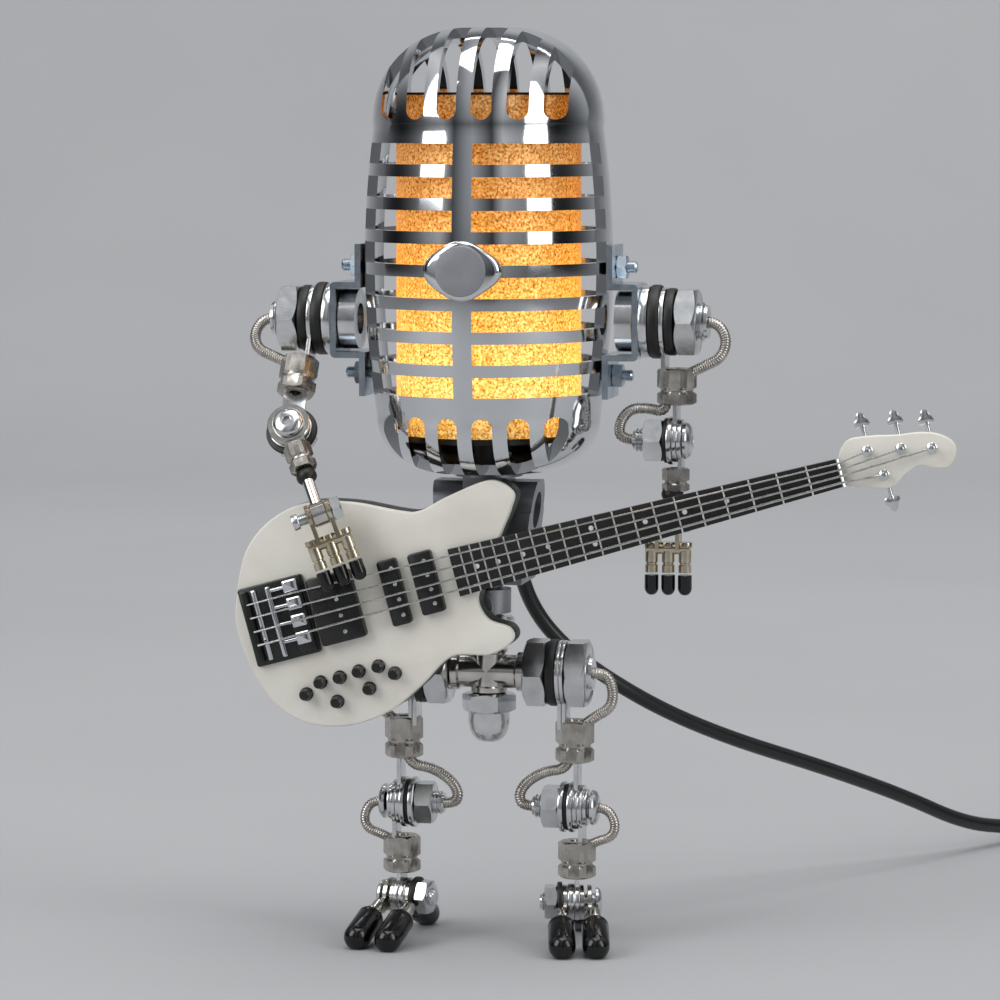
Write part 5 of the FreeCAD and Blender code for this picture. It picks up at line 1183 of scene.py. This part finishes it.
# Nickelled brass: bright, a little warm in tone, with darker smudges.
warm_nickel = plated("nickelled_brass", ("#B5A98F", "#D8CFBC"), (0.14, 0.26), 2.0, 0.02)
wrist_right = bend @ Vector((-ARM_X, FOREARM_Y, ELBOW_Z - FOREARM_L))
across_right = (bend.to_3x3() @ Vector((1, 0, 0))).normalized()
down_right = Vector((0, 1, 0)).cross(across_right).normalized()
for hand_name, wrist, across, down in (
        ("left", Vector((45.6, 0, 108.0)), Vector((1, 0, 0)), Vector((0, 0, -1))),
        ("right", wrist_right, across_right, down_right)):
    thick = across.cross(down)
    hand = Shape()
    for a0 in (-3.1, 2.0):
        hand.turned([(0.02, 0), (3.0, 0), (3.1, 0.12), (3.1, 0.98), (3.0, 1.1), (0.02, 1.1)],
                    wrist + across * a0, across, steps=36)
        cheek = [(-2.5, 0), (2.5, 0), (2.5, 7.2), (-2.5, 7.2)]
        hand.rings([
            [wrist + across * (a0 + t) + thick * b + down * d for b, d in cheek] for t in (0.05, 1.05)])
    hand.turned([(0.02, 0), (1.3, 0), (1.5, 0.2), (1.5, 11.0), (1.3, 11.2), (0.02, 11.2)],
                wrist + across * -5.6 + down * 7.0, across, steps=28)
    for a in (-4.2, 0.0, 4.2):
        hand.turned([
            (0.02, 0.0), (1.75, 0.0), (1.8, 0.2), (1.8, 1.2), (1.35, 1.5), (1.35, 1.9), (1.6, 2.1),
            (1.6, 5.0), (1.35, 5.2), (1.35, 5.6), (1.6, 5.8), (1.6, 7.6), (0.02, 7.6)],
            wrist + across * a + down * 5.4, down, steps=32)
    piece(hand_name + "_hand_metal", hand, hand_name + "_hand", warm_nickel, "nickel_brass",
          (hand_name + "_hand",))
    tips = Shape()
    for a in (-4.2, 0.0, 4.2):
        tips.turned([(0.02, 0), (1.6, 0), (1.75, 0.2), (1.75, 3.4), (1.6, 4.1), (1.2, 4.7), (0.6, 5.05),
                     (0.02, 5.15)],
                    wrist + across * a + down * 13.6, down, steps=32)
    piece(hand_name + "_fingertips", tips, hand_name + "_hand", vinyl, "black_rubber")
    pin = Shape()
    pin.thread(wrist - across * 7.0, across, 12.4, 1.5, 0.5, steps=28)
    pin.turned([(0.02, 0), (1.9, 0), (2.0, 0.15), (2.0, 1.45), (1.9, 1.6), (0.02, 1.6)],
               wrist - across * 7.0, across, steps=28)
    pin.nut(wrist + across * 3.2, across, 2.4, 5.5, 1.4, down)
    piece(hand_name + "_wrist_bolt", pin, hand_name + "_forearm", bright_zinc, "bright_zinc",
          (hand_name + "_wrist_hardware",))


# Bass guitar
# A miniature bass, its thin white lacquered face on a black core, bolted to a bracket on the stem.
# Its white headstock, dark neck and black board are one length with the body.
GUITAR_X, GUITAR_Z, FACE_Y, GUITAR_T = -3.4, 96.6, -24.0, 9.0
NECK_RISE = math.radians(15.5)
NECK_L, NECK_W0, NECK_W1, NECK_T, BOARD_T = 98.5, 12.0, 6.9, 4.4, 1.2
on_guitar = Matrix((
    (math.cos(NECK_RISE), -math.sin(NECK_RISE), 0, GUITAR_X), (0, 0, -1, FACE_Y),
    (math.sin(NECK_RISE), math.cos(NECK_RISE), 0, GUITAR_Z), (0, 0, 0, 1)))


def swept(points, closed=True, share=8):
    """A smooth loop through the given points of an outline."""
    out = []
    count = len(points)
    for i in range(count if closed else count - 1):
        if closed:
            a, b, c, d = (points[(i + k) % count] for k in (-1, 0, 1, 2))
        else:
            a, b, c, d = (points[min(max(i + k, 0), count - 1)] for k in (-1, 0, 1, 2))
        for step in range(share):
            t = step / share
            out.append(tuple(
                0.5 * (2 * b[n] + (c[n] - a[n]) * t + (2 * a[n] - 5 * b[n] + 4 * c[n] - d[n]) * t * t
                       + (3 * b[n] - a[n] - 3 * c[n] + d[n]) * t ** 3) for n in (0, 1)))
    if not closed:
        out.append(points[-1])
    return out


body_outline = swept([
    (-58.0, -2.0), (-56.4, 6.5), (-50.6, 18.0), (-42.0, 24.2), (-32.0, 25.9), (-21.0, 23.2), (-10.0, 18.2),
    (-5.0, 16.9), (3.0, 18.6), (14.0, 19.8), (19.0, 15.6), (17.4, 11.6), (14.2, 7.4), (11.0, 3.0),
    (6.5, -3.2), (3.4, -8.0), (4.6, -13.2), (9.3, -16.6), (9.0, -20.0), (2.6, -21.8), (-6.8, -20.0),
    (-16.4, -25.2), (-26.0, -29.4), (-37.5, -30.2), (-48.6, -26.0), (-55.6, -16.4)])
# White lacquer on wood: warm, thick and slightly uneven, gone a little cream, with a soft gloss.
white_lacquer = new_material("warm_white_lacquer")
surface(white_lacquer, {
    "Base Color": ramp(white_lacquer, grain(white_lacquer, 14.0), [(0.25, "#DEDACF"), (0.75, "#EBE8DF")]),
    "Roughness": ranged(white_lacquer, grain(white_lacquer, 3.0), 0.32, 0.46), "IOR": 1.5,
    "Normal": bumped(white_lacquer, grain(white_lacquer, 1.6), 0.25, 0.05)})
# Black lacquer on the core and back: dark, brushed by hand, half matt.
black_lacquer = new_material("black_lacquered_wood")
surface(black_lacquer, {
    "Base Color": ramp(black_lacquer, grain(black_lacquer, 2.0), [(0.3, "#0E0D0C"), (0.8, "#1B1917")]),
    "Roughness": ranged(black_lacquer, grain(black_lacquer, 1.2), 0.34, 0.5), "IOR": 1.5,
    "Normal": bumped(black_lacquer, grain(black_lacquer, 0.8), 0.3, 0.05)})


def layer(name, loops, top, bottom, mat, slot, stands_for=(), edge=0.2):
    """A flat layer of the guitar between two depths below its face."""
    middle = on_guitar @ Matrix.Translation((0, 0, (top + bottom) / 2))
    return plate(name, loops, top - bottom, middle, "trunk", mat, slot, stands_for, edge)


layer("guitar_face", [body_outline], 0.0, -2.4, white_lacquer, "white_lacquer", ("guitar_body",), 0.5)
layer("guitar_core", [body_outline], -2.4, -GUITAR_T, black_lacquer, "black_lacquer", (), 0.4)
head_outline = [(NECK_L, NECK_W1 / 2)] + swept([
    (NECK_L + 1.0, 5.2), (NECK_L + 3.6, 7.2), (NECK_L + 9.0, 6.7), (NECK_L + 15.0, 5.4),
    (NECK_L + 20.5, 4.6), (NECK_L + 24.6, 3.2), (NECK_L + 27.6, 0.6), (NECK_L + 27.9, -2.4),
    (NECK_L + 25.4, -5.2), (NECK_L + 22.0, -4.6), (NECK_L + 18.8, -3.2), (NECK_L + 15.0, -4.2),
    (NECK_L + 10.6, -6.5), (NECK_L + 5.0, -5.0)], False) + [
    (NECK_L, -NECK_W1 / 2)]
layer("guitar_headstock", [head_outline], 0.0, -2.6, white_lacquer, "white_lacquer", ("guitar_neck",), 0.3)
neck = Shape()
rings = []
for share in (0.0, 0.25, 0.5, 0.75, 1.0):
    half = (NECK_W0 * (1 - share) + NECK_W1 * share) / 2 - 0.05
    depth = NECK_T - BOARD_T - 0.15
    ring = [(half, 0.0), (-half, 0.0)]
    for k in range(13):
        turn = math.pi + math.pi * k / 12
        ring.append((half * math.cos(turn), -depth * 0.45 + depth * 0.55 * math.sin(turn)))
    rings.append([on_guitar @ Vector((0.2 + (NECK_L - 0.2) * share, a, b)) for a, b in ring])
neck.rings(rings)
# Oiled dark maple: brown black with a faint sheen.
dark_maple = new_material("dark_oiled_maple")
surface(dark_maple, {
    "Base Color": ramp(dark_maple, grain(dark_maple, 2.5), [(0.3, "#1A120C"), (0.8, "#2C2017")]),
    "Roughness": 0.45, "Normal": bumped(dark_maple, grain(dark_maple, 1.0), 0.25, 0.03)})
piece("guitar_neck_back", neck, "trunk", dark_maple, "black_lacquer")
board = [(-0.4, NECK_W0 / 2), (NECK_L, NECK_W1 / 2), (NECK_L, -NECK_W1 / 2), (-0.4, -NECK_W0 / 2)]
# Black fingerboard: close dark grain, nearly matt.
ebony = new_material("black_fingerboard")
surface(ebony, {
    "Base Color": ramp(ebony, grain(ebony, 1.5), [(0.3, "#0D0C0B"), (0.8, "#1F1D1B")]), "Roughness": 0.42,
    "Normal": bumped(ebony, grain(ebony, 0.7), 0.3, 0.04)})
layer("guitar_fingerboard", [board], BOARD_T, 0.0, ebony, "black_lacquer", ("fingerboard",), 0.15)
inlay = Shape()
for s, t in ((5.8, 0.2), (11.2, 0), (17.7, 0.2), (24.3, 0.5), (35.8, 2.2), (35.8, -1.8), (49.2, 0.4),
             (59.2, 0.3), (69.9, 0.3)):
    spot = on_guitar @ Vector((s, t, BOARD_T - 0.2))
    inlay.turned([(0.02, 0), (0.62, 0), (0.62, 0.24), (0.02, 0.26)], spot, (0, -1, 0), steps=20)
# Pearl dots: milky white and smooth.
pearl = new_material("pearl_dot")
surface(pearl, {"Base Color": ramp(pearl, grain(pearl, 0.8), [(0.3, "#D9D6CF"), (0.8, "#F2F0EA")]),
                "Roughness": 0.3})
piece("board_dots", inlay, "trunk", pearl, "white_lacquer")
# Fret wire and strings: nickel silver, worn bright.
fret_wire = plated("nickel_silver_wire", ("#B7B7B4", "#DEDEDB"), (0.16, 0.30), 0.6, 0.01, 2.0)
frets = Shape()
for n in range(21):
    x = NECK_L - 140.0 * (1 - 2 ** (-n / 12.0))
    half = NECK_W1 / 2 + (NECK_W0 - NECK_W1) / 2 * (NECK_L - x) / NECK_L
    w, h = (0.5, 0.9) if n == 0 else (0.3, 0.4)
    arch = [(-w, 0.0), (-w * 0.7, h * 0.7), (0, h), (w * 0.7, h * 0.7), (w, 0.0)]
    frets.rings([[on_guitar @ Vector((x + a, y, BOARD_T - 0.02 + b)) for a, b in arch] for y in (-half,
        half)])
piece("fret_wires", frets, "trunk", fret_wire, "fret_wire", ("frets",))


# Bridge, pickups, knobs and strings
# A black ashtray bridge with chromed saddles, three black pickups and eight small black knobs on the face.
# Four wound strings run from the bridge over the nut to the tuner posts.
# Moulded ABS: black, with a fine spark finish and a low shine.
abs_black = new_material("black_moulded_abs")
surface(abs_black, {
    "Base Color": ramp(abs_black, grain(abs_black, 2.0), [(0.3, "#0A0A0A"), (0.8, "#161616")]),
    "Roughness": ranged(abs_black, grain(abs_black, 0.8), 0.22, 0.36), "IOR": 1.54,
    "Normal": bumped(abs_black, grain(abs_black, 0.5), 0.25, 0.03)})


def pad(shape, x0, x1, y0, y1, z0, z1, soft=0.5):
    """A block on the guitar's face with rounded corners and a softened top."""
    rings = []
    for z, pull in ((z0, 0.0), (z1 - 0.45, 0.0), (z1 - 0.15, 0.12), (z1, 0.42)):
        ring = []
        for cx, cy, start in ((x1, y1, 0), (x0, y1, 90), (x0, y0, 180), (x1, y0, 270)):
            for k in range(6):
                turn = math.radians(start + 18 * k)
                px = cx + (soft if cx == x0 else -soft) + (soft - pull) * math.cos(turn)
                py = cy + (soft if cy == y0 else -soft) + (soft - pull) * math.sin(turn)
                ring.append(on_guitar @ Vector((px, py, z)))
        rings.append(ring)
    shape.rings(rings)


bridge = Shape()
pad(bridge, -55.0, -38.0, -10.6, 9.4, 0.0, 1.4, 0.7)
pad(bridge, -54.6, -52.4, -9.8, 8.6, 1.3, 2.6, 0.5)
pad(bridge, -43.4, -38.6, -9.8, 8.8, 1.3, 2.4, 0.6)
piece("bridge_plate", bridge, "trunk", abs_black, "black_chrome", ("bridge",))
saddles = Shape()
for k in range(4):
    pad(saddles, -43.0, -39.2, -7.6 + 4.4 * k, -4.4 + 4.4 * k, 2.3, 3.1, 0.4)
    saddles.turned([(0.02, 0), (0.5, 0), (0.5, 3.4), (0.02, 3.4)],
                   on_guitar @ Vector((-46.4, -6.0 + 4.4 * k, 2.0)), on_guitar.to_3x3() @ Vector((1, 0, 0)),
                   steps=16)
pad(saddles, -51.6, -50.2, -9.6, 8.4, 1.3, 2.1, 0.4)
pad(saddles, -47.6, -46.2, -9.6, 8.4, 1.3, 2.9, 0.5)
piece("bridge_saddles", saddles, "trunk", chrome, "black_chrome")
pickups = Shape()
poles = Shape()
for x0, x1, y0, y1, h in ((-37.2, -25.6, -9.6, 7.6, 2.6), (-18.6, -13.6, -9.2, 7.4, 2.2),
                          (-10.6, -4.6, -8.4, 7.2, 2.2)):
    pad(pickups, x0, x1, y0, y1, 0.0, h, 0.8)
    for k in range(4):
        pole = on_guitar @ Vector(((x0 + x1) / 2 + 0.9, y0 + 2.4 + (y1 - y0 - 4.8) * k / 3, h - 0.1))
        poles.turned([(0.02, 0), (0.55, 0), (0.55, 0.2), (0.45, 0.32), (0.02, 0.34)], pole, (0, -1, 0),
                     steps=18)
for x, y in ((-44.9, -20.0), (-40.6, -18.0), (-35.5, -18.0), (-30.4, -17.7), (-25.2, -17.7), (-21.6, -20.4),
             (-28.9, -22.5), (-37.7, -23.7)):
    pickups.turned([(0.02, 0), (1.7, 0), (1.72, 0.5), (1.45, 0.8), (1.4, 2.4), (1.3, 2.8), (1.05, 3.0),
                    (0.02, 3.02)],
                   on_guitar @ Vector((x, y, 0.0)), (0, -1, 0), steps=28)
piece("pickups_and_eight_knobs", pickups, "trunk", abs_black, "black_abs", ("pickups_and_knobs",))
piece("pickup_poles", poles, "trunk", fret_wire, "fret_wire")
TUNERS = ((NECK_L + 7.4, 3.4, 1), (NECK_L + 15.4, 1.9, 1), (NECK_L + 22.6, 0.2, 1),
          (NECK_L + 9.8, -3.2, -1))
strings = Shape()
for k in range(4):
    y0, y1 = -5.2 + 3.46 * k, -2.3 + 1.55 * k
    post_x, post_y, _ = TUNERS[(3, 2, 1, 0)[k]]
    run = Vector((post_x - NECK_L, post_y - y1, 0))
    stop = Vector((NECK_L, y1, 1.2)) + run * (1 - 0.9 / run.length)
    line = [Vector((-53.0, y0, 2.9)), Vector((-47.0, y0 + 0.1, 3.3)), Vector((-41.0, y0 + 0.2, 3.35)),
            Vector((NECK_L, y1, BOARD_T + 1.1)), stop]
    thick = 0.30 - 0.025 * k
    for a, b in zip(line, line[1:]):
        a, b = on_guitar @ a, on_guitar @ b
        strings.turned([(0.02, 0), (thick, 0), (thick, (b - a).length), (0.02, (b - a).length)], a, b - a,
                       (0, 1, 0.1), steps=10)
piece("four_strings", strings, "trunk", fret_wire, "fret_wire", ("strings",))


# Tuners
# Nickel posts and bushings on the headstock, worm cases behind it, and clover shaped keys on short shafts.
tuners = Shape()
for x, y, way in TUNERS:
    out = on_guitar.to_3x3() @ Vector((0, way, 0))
    tuners.turned([(0.02, 0), (1.35, 0), (1.35, 0.3), (1.1, 0.5), (0.85, 0.55), (0.7, 1.2), (0.9, 1.9),
                   (0.9, 2.3), (0.7, 2.45), (0.02, 2.5)], on_guitar @ Vector((x, y, 0.0)), (0, -1, 0),
                   steps=28)
    tuners.turned([(0.02, 0), (1.4, 0), (1.5, 0.2), (1.5, 1.4), (1.3, 1.6), (0.02, 1.6)],
                  on_guitar @ Vector((x, y, -2.6)), (0, 1, 0), steps=24)
    tuners.turned([(0.02, 0), (0.5, 0), (0.5, 5.4), (0.75, 5.6), (0.75, 6.2), (0.02, 6.2)],
                  on_guitar @ Vector((x, y, -3.3)), out, steps=16)
    key = []
    for k in range(30):
        turn = 2 * math.pi * k / 30
        r = 1.75 + 0.42 * math.cos(3 * turn)
        key.append((r * math.sin(turn), r * math.cos(turn)))
    centre = on_guitar @ Vector((x, y + way * 7.2, -3.3))
    side_way = on_guitar.to_3x3() @ Vector((1, 0, 0))
    rings = []
    for lift, share in ((-0.5, 0.8), (-0.32, 1.0), (0.32, 1.0), (0.5, 0.8)):
        rings.append([centre + side_way * (a * share) + out * (b * share) + Vector((0, -lift, 0)) for a,
                      b in key])
    tuners.rings(rings)
piece("tuner_keys", tuners, "trunk", bright_zinc, "nickel_brass", ("tuners",))


# Switch, tie and plug on the cord
# A rocker switch in a moulded case, a soft tie round the coil and a moulded plug, all out of view.
for name, mat, slot in (("switch_case", abs_black, "black_abs"), ("switch_rocker", abs_black, "black_abs"),
                        ("cord_tie", pvc, "cord_pvc"), ("cord_plug", abs_black, "black_abs")):
    rounded(coated(name, mat, slot), "moulded_edges", 0.3, 2, harden=False)
